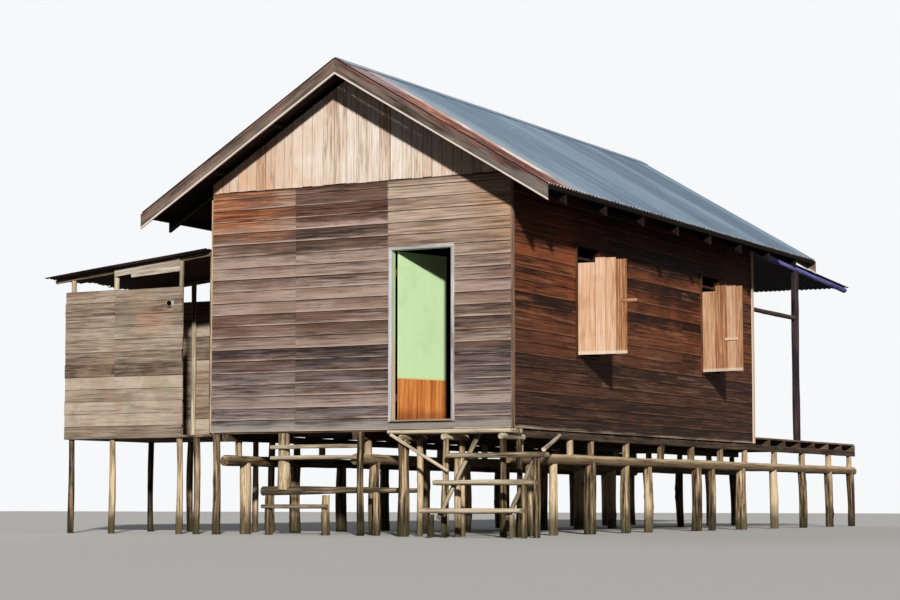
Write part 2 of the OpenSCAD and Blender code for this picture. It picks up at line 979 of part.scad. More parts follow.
// Left side and rear of the cabin
module cabin_sides() {
    color([0.60, 0.55, 0.49]) {
        translate([cabin_x0, front_y + cabin_wall_t, cabin_z - cabin_wall_down])
            cube([cabin_wall_t, cabin_l - 2 * cabin_wall_t - seat_gap, cabin_h + cabin_wall_down]);
        translate([cabin_x0, cabin_y1 - cabin_wall_t, cabin_z - cabin_wall_down])
            cube([cabin_w, cabin_wall_t, cabin_h + cabin_wall_down]);
    }
}

module cabin_floor() {
    color([0.50, 0.45, 0.38])
        translate([cabin_x0 + cabin_wall_t, front_y + cabin_wall_t, cabin_z - cabin_deck_t])
            cube([cabin_w - cabin_wall_t, cabin_l - 2 * cabin_wall_t, cabin_deck_t]);
}

// The cabin roof rises towards the house; its poles carry two beams along its front and rear
cabin_deck_t = 25;
cabin_beam_d = 60;
cabin_pole_d = 70;
cabin_roof_over = 120;
cabin_roof_up = 200;
cabin_beam_in = [60, 10];
cabin_beam_let = 14;
cabin_roof_x0 = cabin_x0 - 260;
cabin_roof_x1 = -half_w - corner_t;
cabin_tilt = atan(cabin_rise / (cabin_roof_x1 - cabin_x0));
function cabin_roof_z(x) = cabin_z + cabin_h + cabin_roof_up + (x - cabin_x0) * tan(cabin_tilt);
function cabin_beam_z(x) = cabin_roof_z(x) - cabin_beam_d / 2 / cos(cabin_tilt) - seat_gap;
cabin_pole_x = [cabin_x0 + 75, cabin_x0 + 730, cabin_x1 - 75];
cabin_pole_y = [front_y + cabin_wall_t + 55, cabin_y1 - cabin_wall_t - 55];
cabin_pile_x = [cabin_x0 + 75, cabin_x0 + 700, cabin_x1 - 80, -half_w - 250];
gap_pole_d = 40;
gap_pole_x = -half_w - corner_t - gap_pole_d;

cabin_pile_in = 70;
module cabin_posts() {
    color([0.62, 0.56, 0.42])
        for (x = cabin_pile_x)
            for (y = [front_y + cabin_pile_in, cabin_y1 - cabin_pile_in])
                pile(x, y, cabin_z - cabin_deck_t, cabin_post_d);
}

module cabin_beams(d) {
    x0 = cabin_roof_x0 + cabin_beam_in[0];
    x1 = cabin_roof_x1 - cabin_beam_in[1];
    for (y = cabin_pole_y)
        pole([x0, y, cabin_beam_z(x0)], [x1, y, cabin_beam_z(x1)], d);
}

// Poles in the cabin and a slim one in the gap beside the house, hollowed to hold the beams
module cabin_poles() {
    color([0.62, 0.55, 0.45]) {
        difference() {
            union() {
                for (x = cabin_pole_x)
                    for (y = cabin_pole_y)
                        translate([x, y, cabin_z])
                            cylinder(h = cabin_beam_z(x) - cabin_beam_let - cabin_z, d = cabin_pole_d,
                                $fn = round_fn);
                translate([gap_pole_x, cabin_pole_y[0], cabin_z])
                    cylinder(h = cabin_beam_z(gap_pole_x) - cabin_beam_let - cabin_z, d = gap_pole_d,
                        $fn = round_fn);
            }
            cabin_beams(cabin_beam_d + 2 * seat_gap);
        }
        cabin_beams(cabin_beam_d);
    }
}

// Pale board nailed to the two poles nearest the house, under the front beam; it runs wider
// towards the house
fascia_t = 15;
fascia_top = 15;
fascia_foot = [90, 150];
module cabin_fascia() {
    x0 = cabin_pole_x[1];
    x1 = cabin_pole_x[2];
    y = cabin_pole_y[0] - cabin_pole_d / 2 - seat_gap;
    color([0.80, 0.74, 0.64])
        translate([0, y, 0])
            rotate([90, 0, 0])
                linear_extrude(fascia_t)
                    polygon([
                        [x0, cabin_beam_z(x0) - fascia_foot[0]],
                        [x1, cabin_beam_z(x1) - fascia_foot[1]],
                        [x1, cabin_beam_z(x1) + fascia_top],
                        [x0, cabin_beam_z(x0) + fascia_top],
                    ]);
}

module cabin_roof() {
    color([0.48, 0.44, 0.42])
        translate([0, cabin_y1 + cabin_roof_over, 0])
            rotate([90, 0, 0])
                linear_extrude(cabin_l + 2 * cabin_roof_over)
                    polygon([
                        [cabin_roof_x0, cabin_roof_z(cabin_roof_x0)],
                        [cabin_roof_x1, cabin_roof_z(cabin_roof_x1)],
                        [cabin_roof_x1, cabin_roof_z(cabin_roof_x1) + cabin_sheet_t],
                        [cabin_roof_x0, cabin_roof_z(cabin_roof_x0) + cabin_sheet_t],
                    ]);
}

// The canopy's underside falls evenly from the rear wall, below the barge boards
canopy_z0 = under(half_w) - max(0, plumb(barge_w - stack_h)) - canopy_t - 30;
canopy_gap = 1;
function canopy_z(y) = canopy_z0 - canopy_fall * (y - rear_y) / canopy_l;
module canopy_sheets() {
    y0 = rear_y + canopy_gap;
    y1 = rear_y + canopy_l;
    color([0.28, 0.30, 0.52])
        translate([-half_w, 0, 0])
            rotate([90, 0, 90])
                linear_extrude(house_w)
                    polygon([
                        [y0, canopy_z(y0)],
                        [y1, canopy_z(y1)],
                        [y1, canopy_z(y1) + canopy_t],
                        [y0, canopy_z(y0) + canopy_t],
                    ]);
}

canopy_post_x = half_w - 60;
function canopy_pole_z(y) = canopy_z(y) - canopy_pole_d / 2 - seat_gap;
canopy_beam_in = [20, 60];
module canopy_beams() {
    y0 = rear_y + canopy_beam_in[0];
    y1 = rear_y + canopy_l - canopy_beam_in[1];
    for (x = [-canopy_post_x, 0, canopy_post_x])
        pole([x, y0, canopy_pole_z(y0)], [x, y1, canopy_pole_z(y1)], canopy_pole_d);
}

// Rail from the rear wall to the right post
rail_d = 70;
module canopy_rail() {
    y = rear_y + canopy_post_y;
    z = floor_z + rail_z;
    difference() {
        pole([canopy_post_x, rear_y, z], [canopy_post_x, y, z], rail_d);
        translate([canopy_post_x, y, floor_z])
            cylinder(h = 2 * rail_z, d = canopy_post_d, $fn = round_fn);
    }
}

module canopy_poles() {
    color([0.24, 0.20, 0.20]) {
        canopy_beams();
        canopy_rail();
    }
}

canopy_beam_let = 8;
module canopy_posts() {
    y = rear_y + canopy_post_y;
    color([0.26, 0.22, 0.24])
        difference() {
            for (x = [-canopy_post_x, canopy_post_x])
                translate([x, y, floor_z])
                    cylinder(h = canopy_pole_z(y) - canopy_beam_let - floor_z, d = canopy_post_d,
                        $fn = round_fn);
            canopy_beams();
        }
}

piles();
bearer_logs();
stub_posts();
sill_beams();
floor_joists();
floor_deck();
front_posts();
front_rails();
landing_poles();
landing_bearers();
landing_posts();
step_treads();
step_posts();
step_stringers();
front_wall_left();
front_wall_right();
front_wall_at_door();
front_gable();
right_wall_low();
right_wall_piers();
right_wall_top();
left_wall_low();
left_wall_piers();
left_wall_top();
rear_wall();
rear_gable();
corner_boards();
wall_posts();
wall_plates();
door_frame();
threshold();
door_leaf();
door_hinges();
door_straps();
window_frames();
shutters();
shutter_battens();
rafters();
purlins();
front_sheet();
roof_sheets();
ridge_cap();
barge_boards();
cabin_front();
cabin_sides();
cabin_floor();
cabin_posts();
cabin_poles();
cabin_fascia();
cabin_pipe();
cabin_roof();
rear_deck();
canopy_posts();
canopy_poles();
canopy_sheets();
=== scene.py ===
import json
import bpy
import numpy as np
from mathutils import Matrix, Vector


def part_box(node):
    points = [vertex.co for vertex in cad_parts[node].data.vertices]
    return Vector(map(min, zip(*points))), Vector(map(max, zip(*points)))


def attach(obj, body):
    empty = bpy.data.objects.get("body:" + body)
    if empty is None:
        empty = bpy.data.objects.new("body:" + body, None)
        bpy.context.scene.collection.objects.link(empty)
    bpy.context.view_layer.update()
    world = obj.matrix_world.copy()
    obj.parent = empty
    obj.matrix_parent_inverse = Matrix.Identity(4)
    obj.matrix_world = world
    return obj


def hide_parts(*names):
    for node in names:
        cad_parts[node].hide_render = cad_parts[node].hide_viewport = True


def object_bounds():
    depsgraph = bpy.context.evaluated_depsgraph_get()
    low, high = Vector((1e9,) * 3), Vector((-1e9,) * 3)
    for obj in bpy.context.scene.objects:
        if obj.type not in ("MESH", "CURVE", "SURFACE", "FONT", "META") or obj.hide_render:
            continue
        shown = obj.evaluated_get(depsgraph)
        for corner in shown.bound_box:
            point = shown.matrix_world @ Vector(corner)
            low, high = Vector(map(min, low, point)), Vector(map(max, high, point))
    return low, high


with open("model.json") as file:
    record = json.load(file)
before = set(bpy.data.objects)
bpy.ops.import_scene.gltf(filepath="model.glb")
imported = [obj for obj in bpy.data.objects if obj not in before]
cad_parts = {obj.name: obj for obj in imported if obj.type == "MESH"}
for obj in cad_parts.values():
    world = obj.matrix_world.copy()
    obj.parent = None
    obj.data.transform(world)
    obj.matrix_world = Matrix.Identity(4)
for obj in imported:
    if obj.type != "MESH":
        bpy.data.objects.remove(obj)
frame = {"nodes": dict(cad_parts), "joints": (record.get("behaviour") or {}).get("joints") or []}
cadBounds = [list(corner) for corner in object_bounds()]
chance = np.random.default_rng(5991)
upward = np.array([0.0, 0.0, 1.0])
circle = 2 * np.pi
print("frame loaded")

# Arrays of points and faces

def unit(v):
    return v / np.linalg.norm(v, axis=-1, keepdims=True)


# Repeats one vector or number for each of n parts, and leaves a list of n as it is
def each(value, n, *size):
    return np.broadcast_to(np.asarray(value, float), (n, *size))


# A start moved by amounts along ways
def carried(start, *steps):
    for amount, way in steps:
        start = start + amount[..., None] * way
    return start


# Two ways square to each row of along, and to each other
def squareTo(along):
    other = np.where(np.abs(along[:, 2:3]) < 0.9, upward, np.array([0.0, 1.0, 0.0]))
    one = unit(np.cross(other, along))
    return one, np.cross(along, one)


# Start, length and way of each run
def runsOf(start, end):
    start, end = np.atleast_2d(np.asarray(start, float)), np.atleast_2d(np.asarray(end, float))
    length = np.linalg.norm(end - start, axis=1)
    return start, length, (end - start) / length[:, None]


# The grain's own coordinates: the place within a part, moved by a distance that each part draws
def grainOf(n, *place):
    return np.stack(np.broadcast_arrays(*place), -1) + chance.uniform(0, 40, (n, 3))[:, None, None, :]


# What a piece is made of. Each face array says whether it is smooth, tone has a number for each like
# part, and lap has one number for all the points or one for each.
def shape(points, faces, grain, tone, lap):
    points = points.reshape(-1, 3)
    return {"points": points, "faces": faces, "grain": grain.reshape(-1, 3),
            "tone": np.repeat(tone, len(points) // np.size(tone)), "lap": np.resize(lap, len(points))}


# Puts rings of points into tubes: faces between neighbour rings, and one face over each end.
# Point (part, ring, corner) has the number (part * rings + ring) * corners + corner.
def tubeFaces(n, rings, corners):
    part, ring, corner = np.meshgrid(np.arange(n), np.arange(rings - 1), np.arange(corners), indexing="ij")
    low, after = (part * rings + ring) * corners, (corner + 1) % corners
    high = low + corners
    sides = np.stack([low + corner, low + after, high + after, high + corner], -1).reshape(-1, 4)
    first = np.arange(n)[:, None] * rings * corners + np.arange(corners)
    return sides, np.concatenate([first[:, ::-1], first + (rings - 1) * corners])


# Slow wandering along a length: three sines with their own phases, at about one turn in 3, 1.4
# and 0.7 metres. The result has one row for each part and one column for each station.
def wandering(n, metres, amount):
    turns, share = np.array([[2.1, 4.5, 9.0], [0.6, 0.3, 0.15]])[:, :, None]
    phase = chance.uniform(0, circle, (n, 3, 1))
    return each(amount, n)[:, None] * (share * np.sin(turns * metres[:, None, :] + phase)).sum(1)


# Sawn boards, all at once. A board runs from start to end, across is the way of its width, and its
# section is a rectangle with cut corners. Each end may be mitred: there the length grows by
# mitre times the place across.
def boards(start, end, across, width, thick, cut=0.002, stations=5, wander=0.0012, mitre=(0, 0), tone=None):
    start, length, along = runsOf(start, end)
    n = len(start)
    across = each(across, n, 3)
    across = unit(across - (across * along).sum(1)[:, None] * along)
    w, t = each(width, n)[:, None] / 2, each(thick, n)[:, None] / 2
    c = np.minimum(cut, np.minimum(w, t) * 0.4)
    u = np.concatenate([-w + c, w - c, w, w, w - c, -w + c, -w, -w], 1)[:, None, :]
    v = np.concatenate([-t, -t, -t + c, t - c, t, t, t - c, -t + c], 1)[:, None, :]
    share = np.linspace(0, 1, stations)
    metres = length[:, None] * share
    slant = each(mitre[0], n)[:, None] * (1 - share) + each(mitre[1], n)[:, None] * share
    far = metres[:, :, None] + slant[:, :, None] * u
    side = u + wandering(n, metres, wander)[:, :, None]
    rise = v + wandering(n, metres, wander)[:, :, None]
    ways = (way[:, None, None] for way in (along, across, np.cross(along, across)))
    points = carried(start[:, None, None], *zip((far, side, rise), ways))
    grain = grainOf(n, far, u, v)
    tone = chance.uniform(0, 1, n) if tone is None else each(tone, n)
    sides, ends = tubeFaces(n, stations, 8)
    lap = np.broadcast_to((u + w[:, :, None]) / (2 * w[:, :, None]), far.shape)
    return shape(points, [(sides, False), (ends, False)], grain, tone, lap)


# Round timbers, all at once: rings about an axis, with a radius that falls evenly from foot to
# head. Sines of angle and height make the round uneven, and bell curves raise the knots.
def trunks(foot, head, footRadius, headRadius, ring, stations, uneven, bow, knots):
    foot, length, along = runsOf(foot, head)
    n = len(foot)
    long, wideFoot, wideHead = (each(value, n)[:, None, None] for value in (length, footRadius, headRadius))
    share = np.linspace(0, 1, stations)[None, :, None]
    angle = np.linspace(0, circle, ring, endpoint=False)[None, None, :]
    metres = long * share
    phase = chance.uniform(0, circle, (4, n, 1, 1))
    wave = (0.5 * np.sin(2 * angle + phase[0] + 1.3 * metres)
            + 0.3 * np.sin(3 * angle + phase[1] - 2.1 * metres) + 0.4 * np.sin(5.5 * metres + phase[2]))
    radius = wideFoot * (1 - share) + wideHead * share
    size = radius * (1 + uneven * wave) / (1 + 0.7 * uneven)
    for k in range(knots):
        at = chance.uniform(0.08, 0.92, (n, 1, 1)) * long
        gap = np.angle(np.exp(1j * (angle - chance.uniform(0, circle, (n, 1, 1)))))
        size = size + radius * 0.16 * np.exp(-((metres - at) / 0.05) ** 2 - (gap / 0.45) ** 2)
    lean = chance.uniform(0, circle, (n, 1, 1))
    shift = bow * np.sin(np.pi * share)
    x = size * np.cos(angle) + shift * np.cos(lean)
    y = size * np.sin(angle) + shift * np.sin(lean)
    ways = (way[:, None, None] for way in (along, *squareTo(along)))
    points = carried(foot[:, None, None], *zip((metres, x, y), ways))
    grain = grainOf(n, metres, x, y)
    sides, ends = tubeFaces(n, stations, ring)
    return shape(points, [(sides, True), (ends, False)], grain, chance.uniform(0, 1, n), 0.5)


# A thin sheet between two grids of points, its face and its back, closed by a rim
def sheetOf(top, low, turned, grain, tone, lap=0.0):
    number = np.arange(top[..., 0].size).reshape(top.shape[:2])
    face = np.stack([number[:-1, :-1], number[1:, :-1], number[1:, 1:], number[:-1, 1:]], -1).reshape(-1, 4)
    rim = np.concatenate([number[0], number[1:, -1], number[-1, -2::-1], number[-2:0:-1, 0]])
    after = np.roll(rim, -1)
    edge = np.stack([rim, after, after + number.size, rim + number.size], -1)
    faces = [(face, True), (face[:, ::-1] + number.size, True), (edge, False)]
    if turned:
        faces = [(f[:, ::-1], soft) for f, soft in faces]
    return shape(np.stack([top, low]), faces, grain, tone, lap)


# A corrugated sheet: u runs down its ridges and v across them, its height follows a cosine of v,
# and the back repeats the face one thickness lower. Its lower end is ragged by two sines of v.
# lap is the share of the way down on the face, and -1 on the back.
def waveSheet(origin, down, over, up, u0, u1, v0, v1, wave=0.076, height=0.017, thick=0.0012, lift=0.0,
              ragged=0.0, stations=7, sway=0.0, tone=0.5):
    columns = max(int(round((v1 - v0) / wave * 8)), 2) + 1
    v = np.linspace(v0, v1, columns)[None, :]
    s = np.linspace(0, 1, stations)[:, None]
    phase = chance.uniform(0, circle, 4)
    rag = ragged * np.abs(0.5 * np.sin(5 * v + phase[0]) + 0.3 * np.sin(17 * v + phase[1]))
    u = u0 + (u1 - rag - u0) * s
    swell = sway * (1 + np.sin(2.3 * u + phase[2]) * np.sin(3.1 * v + phase[3])) / 2
    top = height / 2 * (1 - np.cos(circle * v / wave)) + swell + lift + thick
    seed = chance.uniform(0, 40, 2)
    grain = np.stack(np.broadcast_arrays(u + seed[0], v + seed[1], top), -1)
    lap = np.stack(np.broadcast_arrays(s, -1.0, top)[:2])
    face, back = (carried(origin, (u, down), (v, over), (h, up)) for h in (top, top - thick))
    return sheetOf(face, back, np.dot(np.cross(down, over), up) < 0, np.stack([grain, grain]), tone, lap)


# Nail heads: a six-cornered dome on a surface, a ring with its middle raised
def nailHeads(at, out, radius=0.0045, height=0.003):
    at = np.array(at)
    n = len(at)
    out = each(out, n, 3)
    one, two = squareTo(out)
    angle = np.linspace(0, circle, 6, endpoint=False)[None, :, None]
    ring = at[:, None] + radius * (np.cos(angle) * one[:, None] + np.sin(angle) * two[:, None])
    points = np.concatenate([ring, (at + height * out)[:, None]], 1)
    base = np.arange(n)[:, None] * 7
    k = np.arange(6)
    cap = np.stack([base + k, base + (k + 1) % 6, np.broadcast_to(base + 6, (n, 6))], -1).reshape(-1, 3)
    return shape(points, [(cap, True), (base + k[::-1], False)], points, chance.uniform(0, 1, n), 0.0)


# Pieces, and what the frame says of them

# Flat faces beside smooth ones get points of their own, so that the smooth shading doesn't bend there
def parted(group):
    if not any(soft for faces, soft in group["faces"]):
        return group
    count = len(group["points"])
    order, parts = [np.arange(count)], []
    for faces, soft in group["faces"]:
        if not soft:
            order.append(faces.ravel())
            faces = count + np.arange(faces.size).reshape(faces.shape)
            count += faces.size
        parts.append((faces, soft))
    order = np.concatenate(order)
    return {"faces": parts, **{key: group[key][order] for key in ("points", "grain", "tone", "lap")}}


# Joins groups of arrays into one object that rides a body and stands for CAD nodes
def piece(name, groups, finish, slot, stands, body="house"):
    groups = [parted(g) for g in groups]
    joined = {key: np.concatenate([g[key] for g in groups]) for key in ("points", "grain", "tone", "lap")}
    first = np.cumsum([0] + [len(g["points"]) for g in groups])
    faces = [(f + first[i], soft) for i, g in enumerate(groups) for f, soft in g["faces"]]
    corners = np.concatenate([f.ravel() for f, soft in faces])
    counts = np.concatenate([np.full(len(f), f.shape[1]) for f, soft in faces])
    mesh = bpy.data.meshes.new(name)
    mesh.vertices.add(first[-1])
    mesh.loops.add(len(corners))
    mesh.polygons.add(len(counts))
    mesh.vertices.foreach_set("co", np.clip(joined["points"], *cadBounds).astype(np.float32).ravel())
    mesh.loops.foreach_set("vertex_index", corners.astype(np.int32))
    mesh.polygons.foreach_set("loop_start", (np.cumsum(counts) - counts).astype(np.int32))
    mesh.polygons.foreach_set("use_smooth", np.concatenate([np.full(len(f), soft) for f, soft in faces]))
    mesh.update(calc_edges=True)
    for key in ("grain", "tone", "lap"):
        kind, field = ("FLOAT_VECTOR", "vector") if key == "grain" else ("FLOAT", "value")
        attribute = mesh.attributes.new(key, kind, "POINT")
        attribute.data.foreach_set(field, joined[key].astype(np.float32).ravel())
    mesh.materials.append(finishes[finish])
    thing = bpy.data.objects.new(name, mesh)
    bpy.context.scene.collection.objects.link(thing)
    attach(thing, body)
    if stands:
        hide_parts(*stands)


# Splits a CAD node into its solids. Equal corners are welded, then the lowest number spreads over
# each solid's triangles until nothing changes.
def solidsOf(node):
    mesh = frame["nodes"][node].data
    points = np.empty(len(mesh.vertices) * 3, np.float32)
    mesh.vertices.foreach_get("co", points)
    mesh.calc_loop_triangles()
    corner = np.empty(len(mesh.loop_triangles) * 3, np.int32)
    mesh.loop_triangles.foreach_get("vertices", corner)
    spots, same = np.unique(np.round(points.reshape(-1, 3).astype(float), 5), axis=0, return_inverse=True)
    triangles = same.ravel()[corner].reshape(-1, 3)
    label = np.arange(len(spots))
    while True:
        low = label.copy()
        np.minimum.at(low, triangles.ravel(), np.repeat(label[triangles].min(1), 3))
        low = low[low]
        if (low == label).all():
            break
        label = low
    return [spots[label == k] for k in np.unique(label)]


# All corners of a node, and the two corners of their box
def spotsOf(node):
    spots = np.concatenate(solidsOf(node))
    return spots, spots.min(0), spots.max(0)


# Ends and end radii of each round solid of a node, from the rings at the two ends of its length
def polesOf(node):
    found = []
    for spots in solidsOf(node):
        middle = (spots.min(0) + spots.max(0)) / 2
        way = np.linalg.svd(spots - middle)[2][0]
        way = way if way[np.argmax(np.abs(way))] > 0 else -way
        far = (spots - middle) @ way
        ends = []
        for ring in (spots[far < far.min() + 0.03], spots[far > far.max() - 0.03]):
            centre = (ring.min(0) + ring.max(0)) / 2
            flat = ring - centre
            flat = flat - (flat @ way)[:, None] * way
            ends.append((centre, np.linalg.norm(flat, axis=1).max()))
        found.append((ends[0][0], ends[1][0], ends[0][1], ends[1][1]))
    return [np.array(column) for column in zip(*found)]


# Start, end, way across, width and thickness of each straight box of a node. From one corner the
# three shortest steps that are square to each other are the edges.
def boxesOf(node):
    found = []
    for spots in solidsOf(node):
        steps = spots[1:] - spots[0]
        edges = []
        for step in steps[np.argsort(np.linalg.norm(steps, axis=1))]:
            if all(abs(unit(step) @ unit(e)) < 0.02 for e in edges):
                edges.append(step)
        thin, wide, long = edges[:3]
        start = spots[0] + (thin + wide) / 2
        found.append((start, start + long, wide, np.linalg.norm(wide), np.linalg.norm(thin)))
    return [np.array(column) for column in zip(*found)]


# Shader maths

# A socket of a shader, so that sums on values read as sums
class Wire:
    def __init__(self, nodes, socket):
        self.nodes, self.socket = nodes, socket

    def sum(self, operation, left, right=0.0):
        return self.nodes.node("Math", {"operation": operation}, {0: left, 1: right})

    __add__ = lambda self, other: self.sum("ADD", self, other)
    __radd__ = lambda self, other: self.sum("ADD", other, self)
    __sub__ = lambda self, other: self.sum("SUBTRACT", self, other)
    __rsub__ = lambda self, other: self.sum("SUBTRACT", other, self)
    __mul__ = lambda self, other: self.sum("MULTIPLY", self, other)
    __rmul__ = lambda self, other: self.sum("MULTIPLY", other, self)
    __abs__ = lambda self: self.sum("ABSOLUTE", self)


# sRGB numbers from 0 to 255, as the linear colour that a shader takes. A wire stays as it is.
def paint(colour):
    if isinstance(colour, Wire):
        return colour
    c = np.array(colour) / 255
    c = np.where(c <= 0.04045, c / 12.92, ((c + 0.055) / 1.055) ** 2.4)
    return (*c.tolist(), 1.0)


class Nodes:
    def __init__(self, tree):
        self.tree = tree

    # Gives the sockets of a node their values or links
    def feed(self, node, sockets):
        for key, value in sockets.items():
            if isinstance(value, Wire):
                self.tree.links.new(value.socket, node.inputs[key])
            else:
                node.inputs[key].default_value = value

    # Adds a node: its settings first, then its sockets
    def node(self, kind, settings=None, sockets=None, out=0):
        node = self.tree.nodes.new("ShaderNode" + kind)
        for key, value in (settings or {}).items():
            if key == "stops":
                for k, (at, colour) in enumerate(value):
                    stop = node.color_ramp.elements[k] if k < 2 else node.color_ramp.elements.new(at)
                    stop.position, stop.color = at, colour
            else:
                setattr(node, key, value)
        self.feed(node, sockets or {})
        return Wire(self, node.outputs[out]) if node.outputs else None


# A material, with the colour that its stains, painted shade and painted highlights have built up so far
class Finish(Nodes):
    def __init__(self, name, **fixed):
        self.material = bpy.data.materials.new(name)
        self.material.use_nodes = True
        super().__init__(self.material.node_tree)
        self.surface = self.tree.nodes["Principled BSDF"]
        self.wear(**fixed)

    def number(self, name):
        return self.node("Attribute", {"attribute_name": name}, out="Fac")

    def grain(self):
        return self.node("Attribute", {"attribute_name": "grain"}, out="Vector")

    def place(self, axis):
        return self.node("SeparateXYZ", sockets={0: self.node("TexCoord", out="Object")}, out=axis)

    # Noise in space at a scale, or on the grain when it gets a stretch for each of the grain's ways
    def noise(self, scale, detail=3.0, rough=0.55, bent=0.0):
        if isinstance(scale, tuple):
            where = self.node("VectorMath", {"operation": "MULTIPLY"}, {0: self.grain(), 1: scale})
            scale = 1.0
        else:
            where = self.node("TexCoord", out="Object")
        return self.node("TexNoise", sockets={"Vector": where, "Scale": scale, "Detail": detail,
                                              "Roughness": rough, "Distortion": bent}, out="Fac")

    # Noise about zero, that moves the edges of stains and of painted shade
    def drift(self, scale, amount, detail=4.0):
        return (self.noise(scale, detail) - 0.5) * amount

    # Rises softly from 0 to 1 while the value goes from low to high
    def rise(self, value, low, high):
        return self.node("MapRange", {"interpolation_type": "SMOOTHSTEP"},
                         {"Value": value, "From Min": low, "From Max": high})

    def fall(self, value, low, high):
        return 1.0 - self.rise(value, low, high)

    # 1 between low and high, with soft ends
    def band(self, value, low, high, soft):
        return self.rise(value, low - soft, low + soft) * self.fall(value, high - soft, high + soft)

    # 1 along both long edges of a board: below low and above high of its width
    def edges(self, low, high):
        lap = self.number("lap")
        return 1.0 - self.rise(lap, 0.0, low) * self.fall(lap, high, 1.0)

    # Stops are (place, red, green, blue)
    def ramp(self, value, *stops):
        stops = [(at, paint(rgb)) for at, *rgb in stops]
        return self.node("ValToRGB", {"stops": stops}, {"Fac": value}, out="Color")

    # A ramp over streaks that are frayed by fibres
    def wood(self, streak, fibre, frayed, *stops):
        return self.ramp(streak + (fibre - 0.5) * frayed, *stops)

    def mix(self, share, one, two, kind="MIX"):
        return self.node("Mix", {"data_type": "RGBA", "blend_type": kind, "clamp_factor": True},
                         {0: share, 6: paint(one), 7: paint(two)}, out=2)

    # Lays a share of a colour over the one so far
    def lay(self, share, colour, kind="MIX"):
        self.colour = self.mix(share, self.colour, colour, kind)

    # Darkens the colour so far by another
    def dim(self, share, colour):
        self.lay(share, colour, "MULTIPLY")

    def bump(self, height, strength, distance):
        sockets = {"Height": height, "Strength": strength, "Distance": distance}
        return self.node("Bump", sockets=sockets, out="Normal")

    def wear(self, **sockets):
        self.feed(self.surface, {key.replace("_", " "): value for key, value in sockets.items()})
        return self.material


# Weathered timber. Fibres and streaks are noise drawn out along the grain, patches are noise in
# space, checks are the thin dark lines where a drawn-out noise crosses its middle. On a lapped
# board the depth falls towards the next board's edge, a painted shade under the lap, and rises at
# its own lower edge, wear with a painted highlight.
def timber(name, shades, contrast=1.6, spread=0.35, patches=0.5, streaks=34.0, run=1.8, lapShade=0.0,
           lapPale=0.0, checks=0.55, bump=0.5, overlay=None):
    f = Finish(name, Roughness=0.85, Specular_IOR_Level=0.2)
    fibre = f.noise((4.0, 180.0, 180.0), rough=0.6)
    streak = f.noise((run, streaks, streaks), 5.0, 0.64, 0.3)
    depth = ((streak - 0.5) * contrast + (fibre - 0.5) * 0.8 + (f.number("tone") - 0.5) * spread
             + f.drift(1.3, patches, 3.0) + 0.5)
    if lapShade:
        lap = f.number("lap")
        # Painted shade towards the next board's edge, and a pale lower edge that is wear and a painted
        # highlight
        depth = depth - f.rise(lap, 0.35, 0.84) * lapShade + f.fall(lap, 0.02, 0.2) * lapPale
    f.colour = f.ramp(depth, *((at, *shade) for at, shade in zip((0.12, 0.45, 0.85), shades)))
    check = f.fall(abs(f.noise((0.9, 48.0, 48.0), 2.0, 0.5) - 0.5), 0.0, 0.016)
    f.dim(check * checks, shades[0])
    if overlay:
        overlay(f, streak, fibre)
    return f.wear(Base_Color=f.colour, Normal=f.bump(fibre * 0.5 + streak * 0.6 - check * 0.5, bump, 0.004))


# Stains of the finishes, with painted shade and painted highlights among them

# The sharp dark line under the next board's edge, a painted shadow of the lap, and a pale lower edge that is
# wear and a painted highlight
def lapShadowAndWear(f, streak, dark, pale, deep):
    lap = f.number("lap")
    f.lay(f.rise(lap, 0.765, 0.815) * (f.rise(streak, 0.36, 0.5) * 0.35 + deep), dark)
    f.lay(f.fall(lap, 0.03, 0.1) * f.rise(streak, 0.4, 0.58) * 0.65, pale)


# Front wall: an orange patch at the upper left, brown, dry and tan ones beside it, mauve and pale
# streaks towards the foot, and a painted shadow under each lap
def frontStainAndShade(f, streak, fibre):
    x, z = f.place("X"), f.place("Z")
    drift = f.drift(2.2, 0.5)
    middle = f.band(z + drift, 1.9, 3.3, 0.2)
    rosy = f.rise(f.noise((0.5, 5.0, 5.0)), 0.44, 0.6) * (middle * 0.2 + 0.35)
    f.lay(rosy, f.mix(streak, (80, 50, 40), (170, 134, 114)))
    f.dim(middle * 0.4, (204, 194, 190))
    warm = (1.0 - f.rise(x + drift * 0.5, -1.7, -0.8) * 0.6) * f.fall(x, -0.83, -0.81)
    warm = warm * f.rise(z + drift * 0.7, 3.42, 3.66) * (f.rise(streak, 0.3, 0.6) * 0.35 + 0.55)
    f.lay(warm, f.wood(streak, fibre, 0.5, (0.3, 84, 44, 26), (0.5, 156, 90, 54), (0.7, 214, 148, 100)))
    brown = f.band(x, -0.83, 0.42, 0.015) * f.rise(z + drift * 0.4, 3.6, 3.66)
    f.lay(brown * 0.85, f.wood(streak, fibre, 0.6, (0.34, 44, 28, 23), (0.66, 128, 90, 76)))
    dry = f.rise(x, 0.41, 0.43) * f.rise(z + drift, 3.0, 3.4)
    f.lay(dry * 0.6, f.ramp(streak, (0.36, 140, 114, 96), (0.6, 214, 190, 170)))
    tan = f.rise(x + drift, 1.3, 1.8) * f.rise(z + drift * 2.0, 2.9, 3.7)
    f.lay(tan * f.rise(streak + drift * 0.3, 0.42, 0.6) * 0.6, (206, 146, 96))
    f.lay(f.rise(2.5 - z + drift * 2.0, 0.0, 1.0) * f.rise(streak, 0.36, 0.62) * 0.6, (150, 140, 142))
    f.lay(f.fall(z + drift * 0.3, 1.22, 1.34) * 0.5, (186, 180, 172))
    # Painted shadow under each board's lap, and its pale lower edge, worn and painted as a highlight
    lapShadowAndWear(f, streak, (54, 40, 34), (214, 194, 178), 0.4)
